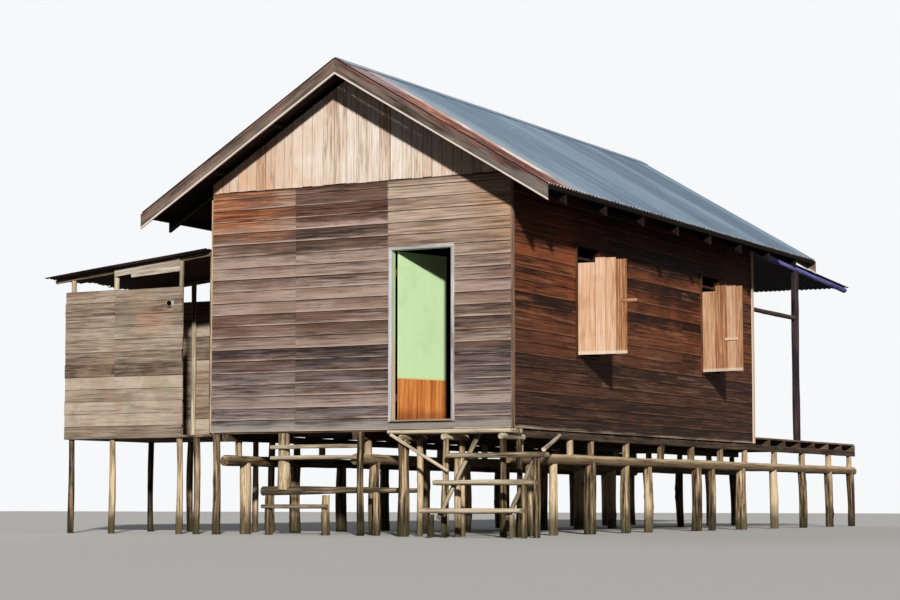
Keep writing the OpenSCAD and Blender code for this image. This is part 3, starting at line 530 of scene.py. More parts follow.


# Side wall: sooty below, a red glow towards the front, painted shade under the eave, worn pale streaks, and a
# painted shadow under each lap
def sideStainAndShade(f, streak, fibre):
    y, z = f.place("Y"), f.place("Z")
    drift = f.drift(1.6, 0.9)
    low = f.rise(2.75 - z + drift, 0.0, 0.9)
    f.lay(low * 0.75, f.wood(streak, fibre, 0.6, (0.3, 24, 16, 12), (0.5, 56, 38, 30), (0.74, 114, 88, 74)))
    glow = f.rise(z + drift, 2.6, 3.3) * f.rise(streak, 0.36, 0.6) * f.fall(y + drift, -1.6, -0.9)
    f.lay(glow * 0.6, (168, 92, 56))
    # Painted shade under the eave: darker towards the top of the wall
    f.dim(f.rise(z + drift * 0.3, 3.2, 3.6) * 0.6, (104, 70, 56))
    f.lay(f.fall(z + drift * 0.1, 1.2, 1.24) * f.rise(streak, 0.34, 0.5) * 0.8, (206, 186, 170))
    worn = f.rise(f.noise((0.8, 16.0, 16.0), 5.0, 0.7), 0.56, 0.64) * f.band(z + drift * 0.6, 1.7, 3.4, 0.3)
    f.lay(worn * 0.5, f.mix(low, (176, 116, 80), (146, 118, 102)))
    rear = f.rise(y + drift, 2.5, 3.1) * f.rise(z + drift, 2.2, 2.8) * f.rise(streak, 0.36, 0.6)
    f.lay(rear * 0.4, (160, 100, 68))
    # Painted shadow under each board's lap, and its pale lower edge, worn and painted as a highlight
    lapShadowAndWear(f, streak, (34, 20, 15), (158, 112, 86), 0.25)


# Gables: orange streaks at both ends, grey ones between, and the joints of the upright boards
def gableStain(f, streak, fibre):
    x = f.place("X")
    drift = f.drift(3.0, 1.0)
    left = f.rise(-0.2 - x + drift * 1.4, 0.0, 1.0) * f.rise(streak + drift * 0.3, 0.42, 0.6)
    f.lay(left * 0.6, (226, 168, 118))
    f.lay(f.rise(x + drift * 1.6, 0.5, 1.3) * f.rise(streak, 0.48, 0.6) * 0.7, (216, 156, 106))
    grey = f.rise(f.noise((2.0, 60.0, 60.0)), 0.54, 0.66) * f.band(x + drift, -0.6, 1.2, 0.3)
    f.lay(grey * 0.45, (150, 140, 134))
    f.dim(f.edges(0.05, 0.95) * 0.35, (140, 104, 84))


# Piles: wet and green at the foot, a tide line above it, and painted shade darkening them again under the
# floor
def pileStainAndShade(f, streak, fibre):
    z = f.place("Z") + f.drift(6.0, 0.3, 3.0)
    f.dim(f.fall(z, 0.08, 0.42) * 0.8, (74, 62, 42))
    f.lay(f.band(z, 0.02, 0.16, 0.05) * 0.3, (90, 92, 60))
    # Painted shade under the floor: darker towards the tops
    f.dim(f.rise(z, 0.75, 1.15) * 0.45, (116, 100, 84))


# Barge boards: a pale lower edge, rusty patches from the sheet above, grey towards the eave
def bargeStain(f, streak, fibre):
    lap = f.number("lap")
    pale = f.fall(lap, 0.12, 0.15)
    f.lay(pale * (f.rise(streak, 0.3, 0.5) * 0.25 + 0.7), (238, 222, 214))
    rusty = f.rise(lap + (streak - 0.5) * 1.2 + f.drift(3.0, 1.6), 0.6, 0.78)
    f.lay(rusty * 0.7, f.wood(streak, fibre, 0.5, (0.36, 70, 46, 44), (0.62, 148, 104, 94)))
    grey = f.rise(f.place("X") + f.drift(2.0, 0.8, 3.0), 1.4, 2.4)
    f.lay(grey * (1.0 - pale) * (1.0 - rusty) * 0.4, (138, 136, 134))


# The casing inside the opening: the door's green above, bare wood below
def casingStain(f, streak, fibre):
    inside = f.rise(f.place("Y"), casingY + 0.01, casingY + 0.014)
    green = f.rise(f.place("Z") + (streak - 0.5) * 0.8, 2.0, 2.4)
    f.lay(inside * 0.85, f.mix(green, (226, 204, 172), (196, 224, 178)))


# Corner boards: brown as the walls at the front, pale orange behind and at the left
def cornerStain(f, streak, fibre):
    front, right = f.fall(f.place("Y"), -3.2, -3.1), f.rise(f.place("X"), 0.0, 0.1)
    f.lay(f.rise(streak, 0.3, 0.6) * 0.5 + 0.2, (222, 186, 150))
    f.lay(right * (1.0 - front) * 0.8, (238, 212, 192))
    brown = f.wood(streak, fibre, 0.5, (0.3, 74, 50, 38), (0.5, 134, 104, 86), (0.72, 190, 158, 134))
    f.lay(front * right * 0.9, brown)


# Rows of the cabin: soft green, rose and orange clouds, and dark joints
def cabinStain(f, streak, fibre):
    cloud = f.noise(2.4)
    f.lay(f.rise(cloud, 0.5, 0.62) * 0.4, f.mix(streak, (112, 82, 66), (206, 172, 146)))
    f.lay(f.rise(f.noise(3.3, 2.0), 0.52, 0.64) * 0.35, (146, 140, 118))
    drift = (cloud - 0.5) * 0.6
    x, z = f.place("X") + drift, f.place("Z") + drift
    orange = f.band(x, -3.05, -2.7, 0.12) * f.band(z, 2.45, 2.75, 0.12)
    f.lay(orange * f.rise(streak, 0.36, 0.6) * 0.45, (194, 140, 112))
    f.dim(f.edges(0.05, 0.93) * 0.85, (80, 64, 54))


# Logs: darker below the top, a painted shade on their undersides
def logUnderShade(f, streak, fibre):
    # Painted shade: darker from the top of the log down to its underside
    under = f.fall(f.place("Z") + (streak - 0.5) * 0.06, logLow.z + 0.07, logHigh.z - 0.01)
    f.dim(under * 0.75, (112, 92, 74))


# The canopy's pole at the windowed side, painted blue violet
def canopyStain(f, streak, fibre):
    painted = f.rise(f.place("X"), 1.7, 1.72) * f.rise(f.place("Z"), 3.4, 3.42)
    f.lay(painted, f.ramp(streak, (0.36, 58, 58, 128), (0.6, 136, 136, 206)))


# Shutters: orange patches, the joints of the planks, and a pale foot painted as a highlight along the bottom
# edge
def shutterStainAndHighlight(f, streak, fibre):
    f.lay(f.rise(f.noise(5.0), 0.54, 0.7) * 0.3, (196, 130, 84))
    f.dim(f.edges(0.04, 0.96) * 0.4, (120, 76, 48))
    # Painted highlight: a pale band along the foot of each shutter
    foot = f.fall(f.place("Z") + (fibre - 0.5) * 0.02, shutterFoot + 0.03, shutterFoot + 0.05)
    f.lay(foot * 0.6, (244, 228, 208))


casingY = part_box("door_frame")[0].y
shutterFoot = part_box("shutters")[0].z
logLow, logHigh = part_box("bearer_logs")
roundLook = dict(shades=((50, 39, 28), (148, 124, 94), (224, 200, 164)), contrast=2.6, spread=0.8,
                 patches=0.7, streaks=36.0)
trimShades = ((110, 92, 76), (178, 164, 146), (224, 214, 198))
darkShades = ((24, 20, 26), (58, 46, 52), (116, 88, 78))
timbers = {
    # lapShade is the painted shade under each lap; lapPale lightens the lower edge as wear and a painted
    # highlight
    "frontBoards": dict(shades=((50, 37, 33), (118, 98, 89), (194, 172, 159)), contrast=1.55, spread=0.95,
                        patches=0.75, streaks=50.0, lapShade=0.24, lapPale=0.3, overlay=frontStainAndShade),
    "sideBoards": dict(shades=((26, 13, 9), (80, 42, 27), (140, 82, 54)), contrast=1.45, spread=0.9,
                       patches=1.1, streaks=46.0, run=1.2, lapShade=0.1, lapPale=0.18, overlay=sideStainAndShade),
    "gableBoards": dict(shades=((172, 128, 98), (236, 217, 199), (252, 244, 234)), spread=0.4, patches=0.3,
                        checks=0.4, overlay=gableStain),
    "cabinBoards": dict(shades=((84, 68, 58), (152, 134, 118), (200, 184, 166)), spread=0.85, patches=0.7,
                        streaks=40.0, overlay=cabinStain),
    "newPlanks": dict(shades=((144, 88, 52), (214, 168, 130), (240, 210, 184)), contrast=1.3, spread=0.6,
                      patches=0.3, streaks=44.0, checks=0.25, bump=0.3, overlay=shutterStainAndHighlight),
    "beams": dict(shades=((34, 26, 22), (84, 68, 56), (134, 114, 94))),
    # Rafters and purlins nearly black: painted shade under the roof
    "roofTimber": dict(shades=((8, 4, 3), (18, 10, 7), (34, 20, 14))),
    "floor": dict(shades=((60, 48, 38), (128, 110, 90), (174, 156, 132)), spread=0.6),
    "roundTimber": dict(roundLook, overlay=pileStainAndShade),
    "logs": dict(roundLook, overlay=logUnderShade),
    "poles": dict(shades=((74, 62, 48), (158, 142, 116), (220, 206, 180)), contrast=2.0, spread=0.6,
                  streaks=42.0),
    "trim": dict(shades=trimShades, overlay=cornerStain),
    "fascia": dict(shades=trimShades),
    "doorCasing": dict(shades=((112, 106, 104), (184, 180, 184), (224, 222, 226)), overlay=casingStain),
    "lining": dict(shades=((30, 18, 12), (70, 44, 30), (120, 82, 58))),
    "barge": dict(shades=((48, 40, 36), (100, 89, 80), (152, 134, 122)), contrast=2.2, patches=0.6,
                  overlay=bargeStain),
    "darkPoles": dict(shades=darkShades),
    "canopyPoles": dict(shades=darkShades, overlay=canopyStain),
}
finishes = {name: timber(name, **look) for name, look in timbers.items()}


# Corrugated sheet: pale and dark runs down the slope, rust round laps and in blotches, dirt in the
# valleys, and a back colour of its own, dark on the roof and canopy sheets as painted shade on their
# undersides. The height in a wave is the third number of the grain. A sheet of the house roof has a
# worn pale line at its eave.
def waveFinish(name, base, pale, rust, rusty, back, valley=0.4, overlay=None, wornEave=False):
    f = Finish(name, Metallic=0.1, Specular_IOR_Level=0.2)
    runs = f.noise((0.45, 9.0, 1.0), 5.0, 0.65)
    cloud = f.noise(1.1, 4.0)
    spots = f.noise((7.0, 20.0, 1.0), 4.0, 0.7)
    faded = runs + (cloud - 0.5) * 0.4 + (f.number("tone") - 0.5) * 0.3
    f.colour = f.mix(f.rise(faded, 0.3, 0.7), base, pale)
    height = f.node("SeparateXYZ", sockets={0: f.grain()}, out="Z")
    f.dim(f.fall(height, 0.003, 0.012) * valley, base)
    bitten = f.rise(spots * 0.6 + runs * 0.5 + cloud * 0.35 + rusty, 0.78, 0.92)
    f.lay(bitten, f.ramp(spots, (0.3, *rust[0]), (0.5, *rust[1]), (0.7, *rust[2])))
    if overlay:
        overlay(f, runs, spots)
    if wornEave:
        f.lay(f.fall(f.place("Z"), eaveZ + 0.014, eaveZ + 0.03) * 0.8, (206, 208, 208))
    # The back: on the roof and canopy sheets a dark painted shade of the underside
    f.lay(f.fall(f.number("lap"), -0.7, -0.3), back)
    rough = 0.55 + bitten * 0.35 + (runs - 0.5) * 0.2
    return f.wear(Base_Color=f.colour, Roughness=rough, Normal=f.bump(spots * 0.5 + runs * 0.3, 0.25, 0.003))


# The sheet at the front gable: red and orange blotches, darker towards the eave, and a pale flaked
# edge beside the grey sheets
def rustStain(f, runs, spots):
    red = f.rise(f.noise((1.0, 6.0, 1.0), 4.0), 0.46, 0.54)
    f.lay(red * 0.85, f.mix(spots, (88, 40, 36), (176, 88, 66)))
    orange = f.rise(f.noise((2.0, 7.0, 1.0), 4.0) + (spots - 0.5) * 0.3, 0.57, 0.66)
    f.lay(orange * 0.7, (208, 130, 92))
    f.lay(f.rise(f.noise((0.7, 22.0, 1.0), 2.0), 0.55, 0.6) * 0.7, (66, 40, 38))
    drift = f.drift(4.0, 0.1, 3.0)
    blotch = f.noise(3.4, 4.0, 0.6)
    f.lay(f.rise(blotch, 0.53, 0.57) * 0.7, f.mix(spots, (52, 26, 26), (122, 62, 50)))
    f.lay(f.fall(blotch, 0.38, 0.44) * 0.6, (214, 150, 120))
    z = f.place("Z") + drift * 2.0
    f.dim(f.fall(z, 4.1, 4.6) * 0.6, (164, 116, 108))
    f.lay(f.rise(z, 4.9, 5.2) * 0.4, (170, 160, 176))
    edge = f.rise(f.place("Y") + drift * 1.5, rustEdge - 0.25, rustEdge - 0.22)
    f.lay(edge * (f.rise(f.noise(1.7, 2.0), 0.4, 0.56) * 0.55 + 0.4), (240, 224, 214))


# The grey sheets are paler beside the rusted one
def zincStain(f, runs, spots):
    beside = f.fall(f.place("Y") + (runs - 0.5) * 0.3, rustEdge + 0.2, rustEdge + 0.5)
    f.lay(beside * f.rise(f.place("X"), 0.0, 0.1) * 0.4, (176, 186, 196))


# Dark back of the roof sheets: painted shade on their undersides
shadedBack = (52, 34, 27)
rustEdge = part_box("front_sheet")[1].y
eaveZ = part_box("roof_sheets")[0].z
brownRust = ((74, 42, 34), (112, 66, 48), (150, 96, 66))
redRust = ((60, 32, 32), (134, 68, 50), (190, 140, 112))
sheets = {
    "zinc": dict(base=(98, 117, 136), pale=(135, 156, 175), rust=brownRust, rusty=-0.1, back=shadedBack,
                 valley=0.3, overlay=zincStain, wornEave=True),
    "rusted": dict(base=(112, 84, 78), pale=(186, 160, 150), rust=redRust, rusty=-0.02, back=shadedBack,
                   valley=0.75, overlay=rustStain, wornEave=True),
    "oldSheet": dict(base=(74, 66, 62), pale=(146, 136, 126), rust=brownRust, rusty=0.06,
                     back=(104, 86, 84)),
    # The canopy's dark back is painted shade on its underside
    "blueSheet": dict(base=(50, 56, 104), pale=(100, 108, 170), rust=brownRust, rusty=-0.1,
                      back=(34, 28, 40)),
}
finishes.update({name: waveFinish(name, **look) for name, look in sheets.items()})


# Door paint: pale green above a cream line, orange varnish below it, dirt in patches on the green and near
# the foot
def doorFinish(lineZ):
    f = Finish("doorPaint", Specular_IOR_Level=0.5)
    z = f.place("Z")
    fibre = f.noise((3.0, 150.0, 150.0))
    streak = f.noise((0.9, 26.0, 26.0), 4.0, bent=0.4)
    dirt = f.noise(3.5, 5.0, 0.65)
    green = f.mix(f.rise(dirt, 0.45, 0.75) * 0.45, (214, 244, 192), (182, 216, 160))
    green = f.mix(f.rise(streak, 0.55, 0.75) * 0.25, green, (226, 244, 208))
    f.colour = f.wood(streak, fibre, 0.5, (0.25, 148, 72, 32), (0.5, 218, 134, 70), (0.75, 240, 176, 104))
    above = f.rise(z, lineZ - 0.003, lineZ + 0.003)
    f.lay(above, green)
    f.lay(f.band(z, lineZ, lineZ + 0.014, 0.003), (232, 214, 140))
    f.dim(f.fall(z + (dirt - 0.5) * 0.3, 1.34, 1.5) * 0.5, (120, 84, 60))
    rough = 0.45 - above * 0.05 + (dirt - 0.5) * 0.3
    normal = f.bump(fibre * 0.4 + streak * 0.4, 0.18, 0.002)
    return f.wear(Base_Color=f.colour, Roughness=rough, Normal=normal)


def ironFinish():
    f = Finish("iron", Metallic=0.6)
    rust = f.noise(60.0, 5.0, 0.7)
    colour = f.ramp(rust, (0.3, 58, 50, 48), (0.55, 96, 62, 48), (0.75, 138, 84, 56))
    return f.wear(Base_Color=colour, Roughness=0.5 + rust * 0.4, Normal=f.bump(rust, 0.4, 0.001))


# Pipe: a dull ring round a bore painted near black as the shade inside it, up to nine tenths of the outer
# radius
def pipeFinish():
    f = Finish("pipe", Specular_IOR_Level=0.3)
    dirt = f.noise(14.0, 4.0)
    low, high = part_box("cabin_pipe")
    wide = high.x - low.x
    across, up = f.place("X") - (low.x + high.x) / 2, f.place("Z") - (low.z + high.z) / 2
    f.colour = f.mix(f.rise(dirt, 0.4, 0.75), (226, 214, 196), (184, 168, 148))
    # Painted shade: the bore near black
    f.lay(f.fall(across * across + up * up, (wide * 0.452) ** 2, (wide * 0.47) ** 2), (12, 10, 9))
    return f.wear(Base_Color=f.colour, Roughness=0.5 + dirt * 0.3)


paintLine = 1.787
finishes["door"] = doorFinish(paintLine)
finishes["iron"] = ironFinish()
finishes["pipe"] = pipeFinish()
print("finishes made")

# Round timbers

# Node: piece, finish, slot, corners of a ring, stations, unevenness, bow, knots
roundTimbers = {
    "piles": ("pileTrunks", "roundTimber", "pile_wood", 16, 14, 0.12, 0.012, 3),
    "bearer_logs": ("bearerLogs", "logs", "log_wood", 16, 60, 0.1, 0.0, 9),
    "stub_posts": ("stubPosts", "roundTimber", "log_wood", 12, 5, 0.12, 0.003, 1),
    "front_posts": ("frontPosts", "roundTimber", "pile_wood", 16, 14, 0.12, 0.01, 3),
    "front_rails": ("frontRails", "poles", "log_wood", 12, 20, 0.12, 0.006, 3),
    "landing_poles": ("landingPoles", "poles", "pole_wood", 12, 16, 0.14, 0.006, 3),
    "landing_bearers": ("landingBearers", "poles", "log_wood", 12, 8, 0.1, 0.0, 1),
    "landing_posts": ("landingPosts", "roundTimber", "pile_wood", 14, 12, 0.12, 0.01, 3),
    "step_treads": ("stepTreads", "poles", "pole_wood", 12, 14, 0.12, 0.005, 3),
    "step_posts": ("stepPosts", "roundTimber", "pile_wood", 12, 10, 0.12, 0.008, 2),
    "step_stringers": ("stepStringers", "poles", "log_wood", 12, 14, 0.1, 0.004, 2),
    "cabin_posts": ("cabinPosts", "roundTimber", "pile_wood", 12, 12, 0.12, 0.012, 2),
    "cabin_poles": ("cabinPoles", "poles", "pole_wood", 12, 14, 0.12, 0.008, 2),
    "canopy_posts": ("canopyPosts", "darkPoles", "dark_wood", 14, 14, 0.08, 0.006, 3),
    "canopy_poles": ("canopyPoles", "canopyPoles", "dark_wood", 12, 16, 0.08, 0.0, 3),
}
for node, (name, finish, slot, *settings) in roundTimbers.items():
    piece(name, [trunks(*polesOf(node), *settings)], finish, slot, [node])
print("round timbers made")

# Sawn timbers whose solids are plain boxes

# Node: piece, finish, slot, cut corner, stations, wander
sawnTimbers = {
    "sill_beams": ("sillBeams", "beams", "beam_wood", 0.006, 40, 0.004),
    "floor_joists": ("floorJoists", "beams", "beam_wood", 0.004, 14, 0.002),
    "wall_posts": ("wallPosts", "beams", "beam_wood", 0.003, 8, 0.001),
    "purlins": ("roofPurlins", "roofTimber", "beam_wood", 0.003, 24, 0.001),
    "corner_boards": ("cornerBoards", "trim", "pale_trim", 0.002, 12, 0.0015),
    "threshold": ("doorThreshold", "floor", "floor_boards", 0.004, 6, 0.0005),
    "shutter_battens": ("shutterLedges", "newPlanks", "new_wood", 0.002, 4, 0.0003),
}
for node, (name, finish, slot, *settings) in sawnTimbers.items():
    piece(name, [boards(*boxesOf(node), *settings)], finish, slot, [node])

plateLow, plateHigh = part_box("wall_plates")
plateWide = 0.07
plateZ = (plateLow.z + plateHigh.z) / 2
plates = []
for x in (plateLow.x + plateWide / 2, plateHigh.x - plateWide / 2):
    plates.append(((x, plateLow.y, plateZ), (x, plateHigh.y, plateZ), (1, 0, 0)))
for y in (plateLow.y + plateWide / 2, plateHigh.y - plateWide / 2):
    plates.append(((plateLow.x + plateWide, y, plateZ), (plateHigh.x - plateWide, y, plateZ), (0, 1, 0)))
piece("wallPlates", [boards(*zip(*plates), plateWide, plateHigh.z - plateLow.z, stations=16)], "beams",
      "beam_wood", ["wall_plates"])
print("sawn timbers made")

# Walls of lapped boards

lapped = {"exposure": 0.1393, "width": 0.165, "thick": 0.011, "lean": 0.012, "gap": 0.0012}


# The inward way of a wall whose length runs along way, and a function that turns (u, depth, z) into
# a point of it: u along the wall, depth inward from its face
def wallPlace(way, face):
    inward = np.cross(upward, way)
    return inward, lambda u, depth, z: u * np.array(way) + (face + depth) * inward + z * upward


# One wall: rows of boards from foot to head, each leaning so that its lower edge laps over the row
# below. Holes are (u0, u1, z0, z1) where boards are cut away. joints gives the butt joints of a row.
def lappedWall(way, face, u0, u1, z0, z1, joints, holes=()):
    inward, place = wallPlace(way, face)
    starts, ends, widths, tones = [], [], [], []
    rows = int(np.ceil((z1 - z0) / lapped["exposure"]))
    for r in range(rows):
        low = z0 + r * lapped["exposure"]
        high = min(low + lapped["width"], z1)
        shift = chance.uniform(-0.002, 0.002)
        rowTone = chance.uniform(0.15, 0.85)
        sides = [u for hole in holes for u in hole[:2] if hole[2] < high - 0.004 and hole[3] > low + 0.004]
        cuts = sorted({u0, u1, *(j for j in joints(r, low) if u0 < j < u1), *sides})
        for a, b in zip(cuts, cuts[1:]):
            spans = [(low, high)]
            for hole in holes:
                if hole[0] < (a + b) / 2 < hole[1]:
                    spans = [(low, min(high, hole[2])), (max(low, hole[3]), high)]
                    spans = [span for span in spans if span[1] - span[0] > 0.018]
            for lo, hi in spans:
                middle = (lo + hi) / 2 + (shift if (lo, hi) == (low, high) and 0 < r < rows - 1 else 0)
                depth = 0.0005 + lapped["thick"] / 2 + lapped["lean"] * (middle - low) / lapped["width"]
                depth += chance.uniform(0, 0.0012)
                starts.append(place(a + lapped["gap"], depth, middle))
                endDepth = depth + chance.uniform(-0.0008, 0.0008)
                ends.append(place(b - lapped["gap"], endDepth, middle + chance.uniform(-0.002, 0.002)))
                widths.append(hi - lo)
                tones.append(rowTone + chance.uniform(-0.15, 0.15))
    across = upward + lapped["lean"] / lapped["width"] * inward
    return boards(starts, ends, across, widths, lapped["thick"], 0.0016, 9, 0.0011, tone=tones)


wallLow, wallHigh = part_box("front_wall_left")[0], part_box("front_wall_right")[1]
doorLow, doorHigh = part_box("door_frame")
frontJoints = (-0.823, 0.425)
frontGroup = lappedWall((1, 0, 0), wallLow.y, wallLow.x, wallHigh.x, wallLow.z, wallHigh.z,
                        lambda r, z: frontJoints if z > doorHigh.z - 0.03 else frontJoints[:1],
                        [(doorLow.x, doorHigh.x, doorLow.z, doorHigh.z)])
piece("frontBoards", [frontGroup], "frontBoards", "front_boards",
      ["front_wall_left", "front_wall_right", "front_wall_at_door"])

rearLow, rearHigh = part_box("rear_wall")
rearGroup = lappedWall((-1, 0, 0), -rearHigh.y, rearLow.x, rearHigh.x, rearLow.z, rearHigh.z,
                       lambda r, z: ((-0.7, 0.66)[r % 2],))
piece("rearBoards", [rearGroup], "frontBoards", "front_boards", ["rear_wall"])

windowBoxes = sorted(((s.min(0), s.max(0)) for s in solidsOf("window_frames")), key=lambda s: s[0][1])
windowHoles = [(lo[1], hi[1], lo[2], hi[2]) for lo, hi in windowBoxes]
sideLow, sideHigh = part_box("right_wall_low")[0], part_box("right_wall_top")[1]
pierJoints, longJoints = (-0.40, 1.18, -1.36), (-1.36, 1.86, 0.1, 2.57)
rightGroup = lappedWall((0, 1, 0), -sideHigh.x, sideLow.y, sideHigh.y, sideLow.z, sideHigh.z,
                        lambda r, z: (pierJoints[r % 3] if 2.0 < z < 3.3 else longJoints[r % 4],),
                        windowHoles)
piece("rightBoards", [rightGroup], "sideBoards", "side_boards",
      ["right_wall_low", "right_wall_piers", "right_wall_top"])
leftGroup = lappedWall((0, -1, 0), -sideHigh.x, -sideHigh.y, -sideLow.y, sideLow.z, sideHigh.z,
                       lambda r, z: ((-1.86, 0.9, -0.4)[r % 3],))
piece("leftBoards", [leftGroup], "sideBoards", "side_boards",
      ["left_wall_low", "left_wall_piers", "left_wall_top"])
print("walls made")

# Gables of upright boards

# Foot, apex, half width and shoulder height of a gable
def gableShape(node):
    spots, low, high = spotsOf(node)
    return low[2], high[2], high[0], spots[np.abs(spots[:, 0] - high[0]) < 0.001][:, 2].max()


def gableBoards(node, faceY, inward):
    foot, apex, half, shoulder = gableShape(node)
    slope = (apex - shoulder) / half
    edges = [0.0]
    while edges[-1] < half:
        edges.append(min(edges[-1] + chance.uniform(0.115, 0.165), half))
    if edges[-1] - edges[-2] < 0.06:
        edges.pop(-2)
    starts, ends, widths, slants = [], [], [], []
    for side in (-1, 1):
        for a, b in zip(edges, edges[1:]):
            x = side * (a + b) / 2
            y = faceY + inward * (0.009 + chance.uniform(0, 0.004))
            starts.append((x, y, foot + chance.uniform(0.0, 0.012)))
            ends.append((x, y, apex - abs(x) * slope - 0.001))
            widths.append(b - a - chance.uniform(0.0015, 0.005))
            slants.append(-slope * side)
    return boards(starts, ends, (1, 0, 0), widths, 0.014, 0.0016, 7, 0.0008, (0, slants))


for name, node, corner, inward in (("frontGable", "front_gable", 0, 1), ("rearGable", "rear_gable", 1, -1)):
    piece(name, [gableBoards(node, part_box(node)[corner].y, inward)], "gableBoards", "gable_boards", [node])

# Roof

gableTop, gableHalf, gableShoulder = gableShape("front_gable")[1:]
pitch = np.arctan2(gableTop - gableShoulder, gableHalf)
roofDown = np.array([np.cos(pitch), 0, -np.sin(pitch)])
roofUp = np.array([np.sin(pitch), 0, np.cos(pitch)])


# How low and how high the corners of a node lie, square to the slope at +X
def reachOf(node):
    spots = spotsOf(node)[0]
    reach = spots[spots[:, 0] >= 0] @ roofUp
    return reach.min(), reach.max()


# The place down a slope at which its line at a height above the middle comes to x
def downTo(x, height):
    return (x - roofUp[0] * height) / roofDown[0]


# Timbers of a node on the slopes, from a height top down, with plumb cuts at ridge and end. Runs are
# (side, y, end x).
def slopeTimbers(node, runs, top, thick, headX, cut, stations, wander=0.0012):
    deep = top - reachOf(node)[0]
    height = top - deep / 2
    starts, ends, across = [], [], []
    for side, y, endX in runs:
        flip = np.array((side, 1, 1))
        starts.append((roofUp * height + roofDown * downTo(headX, height)) * flip + (0, y, 0))
        ends.append((roofUp * height + roofDown * downTo(endX, height)) * flip + (0, y, 0))
        across.append(roofUp * flip)
    plumb = -np.tan(pitch)
    return boards(starts, ends, across, deep, thick, cut, stations, wander, (plumb, plumb))


purlinTop = reachOf("purlins")[1]
sheetLow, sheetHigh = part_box("roof_sheets")
rustLow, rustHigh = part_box("front_sheet")
waves = {"wave": (rustHigh.y - rustLow.y) / 10, "height": 0.0165, "thick": 0.0012}
eaveReach, ridgeReach = downTo(sheetHigh.x, purlinTop + 0.018), downTo(0.006, purlinTop)

rafters = []
for spots in solidsOf("rafters"):
    lo, hi = spots.min(0), spots.max(0)
    rafters.append((1 if hi[0] > 1 else -1, (lo[1] + hi[1]) / 2, max(abs(lo[0]), abs(hi[0]))))
rafterGroup = slopeTimbers("rafters", rafters, reachOf("front_gable")[1], 0.05, 0.002, 0.003, 12)
piece("roofRafters", [rafterGroup], "roofTimber", "beam_wood", ["rafters"])


# One roof slope: two courses of corrugated sheets, side by side with a lap of a wave and a half
def roofSlope(side, y0, y1, perSheet, tones):
    flip = np.array((side, 1, 1))
    wide = waves["wave"] * perSheet
    middle = (ridgeReach + eaveReach) * 0.52
    groups = []
    for k in range(int(np.ceil((y1 - y0) / wide))):
        a = y0 + k * wide
        b = min(a + wide + waves["wave"] * 1.5, y1)
        for top, (u0, u1) in enumerate(((middle - 0.1, eaveReach - 0.002), (ridgeReach, middle + 0.05))):
            groups.append(waveSheet(roofUp * flip * (purlinTop + 0.0003), roofDown * flip, (0, 1, 0),
                                    roofUp * flip, u0, u1, a, b, lift=0.0014 * (k % 2 + top), stations=6,
                                    ragged=0.02 * (1 - top), sway=0.0012, tone=tones[k % len(tones)],
                                    **waves))
    return groups


sheetTones = chance.uniform(0, 1, 11)
rustedGroups = roofSlope(1, rustLow.y, rustHigh.y, 8, (0.5, 0.3))
piece("rustedSheets", rustedGroups, "rusted", "rusted_sheet", ["front_sheet"])
rightGroups = roofSlope(1, rustHigh.y, sheetHigh.y, 9, sheetTones)
piece("rightSheets", rightGroups, "zinc", "zinc_sheet", ["roof_sheets"])
piece("leftSheets", roofSlope(-1, sheetLow.y, sheetHigh.y, 9, sheetTones), "zinc", "zinc_sheet", [])

capLow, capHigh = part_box("ridge_cap")
ridge = {"lengths": 5, "lap": 0.08, "bend": 0.012, "thick": 0.0012}


# Ridge cap: lengths of bent sheet. Across it, the height falls as the roof does, with a rounded top.
def ridgeLengths():
    groups = []
    step = (capHigh.y - capLow.y) / ridge["lengths"]
    x = np.linspace(-capHigh.x, capHigh.x, 25)[:, None]
    fall = np.tan(pitch) * (np.sqrt(x ** 2 + ridge["bend"] ** 2) - ridge["bend"])
    for k in range(ridge["lengths"]):
        start = capLow.y + k * step
        y = np.linspace(start, min(start + step + ridge["lap"], capHigh.y), 8)[None, :]
        flutter = 0.0015 * np.sin(5 * y + k) * (np.abs(x) / capHigh.x)
        top = np.stack(np.broadcast_arrays(x, y, capHigh.z - 0.0016 * (1 + (k % 2)) - fall + flutter), -1)
        low = top - ridge["thick"] * upward
        groups.append(sheetOf(top, low, False, np.stack([top, low]), chance.uniform(0, 1)))
    return groups


piece("ridgeCap", ridgeLengths(), "zinc", "zinc_sheet", ["ridge_cap"])

# Barge boards: one on each slope at both gables
bargeLow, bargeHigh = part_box("barge_boards")
bargeY = (bargeLow.y + 0.011, bargeHigh.y - 0.011)
barges = [(side, y, bargeHigh.x - 0.001) for y in bargeY for side in (-1, 1)]
bargeGroup = slopeTimbers("barge_boards", barges, purlinTop, 0.0216, 0.0006, 0.002, 14, 0.0006)
piece("bargeBoards", [bargeGroup], "barge", "barge_wood", ["barge_boards"])
print("roof made")

# Doorway

sillLow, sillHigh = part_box("threshold")
jamb = sillLow.x - doorLow.x
deepY, middleY = doorHigh.y - doorLow.y, (doorLow.y + doorHigh.y) / 2
casing = []
rightJamb = doorHigh.x - sillHigh.x
for x, wide in (((doorLow.x + sillLow.x) / 2, jamb), ((sillHigh.x + doorHigh.x) / 2, rightJamb)):
    casing.append(boards((x, middleY, doorLow.z), (x, middleY, doorHigh.z - jamb), (1, 0, 0), wide, deepY,
                         0.004, 8, 0.0006))
headZ = doorHigh.z - jamb / 2
casing.append(boards((doorLow.x, middleY, headZ), (doorHigh.x, middleY, headZ), upward, jamb, deepY,
                     0.004, 5, 0.0004))
piece("doorFrame", casing, "doorCasing", "pale_trim", ["door_frame"])


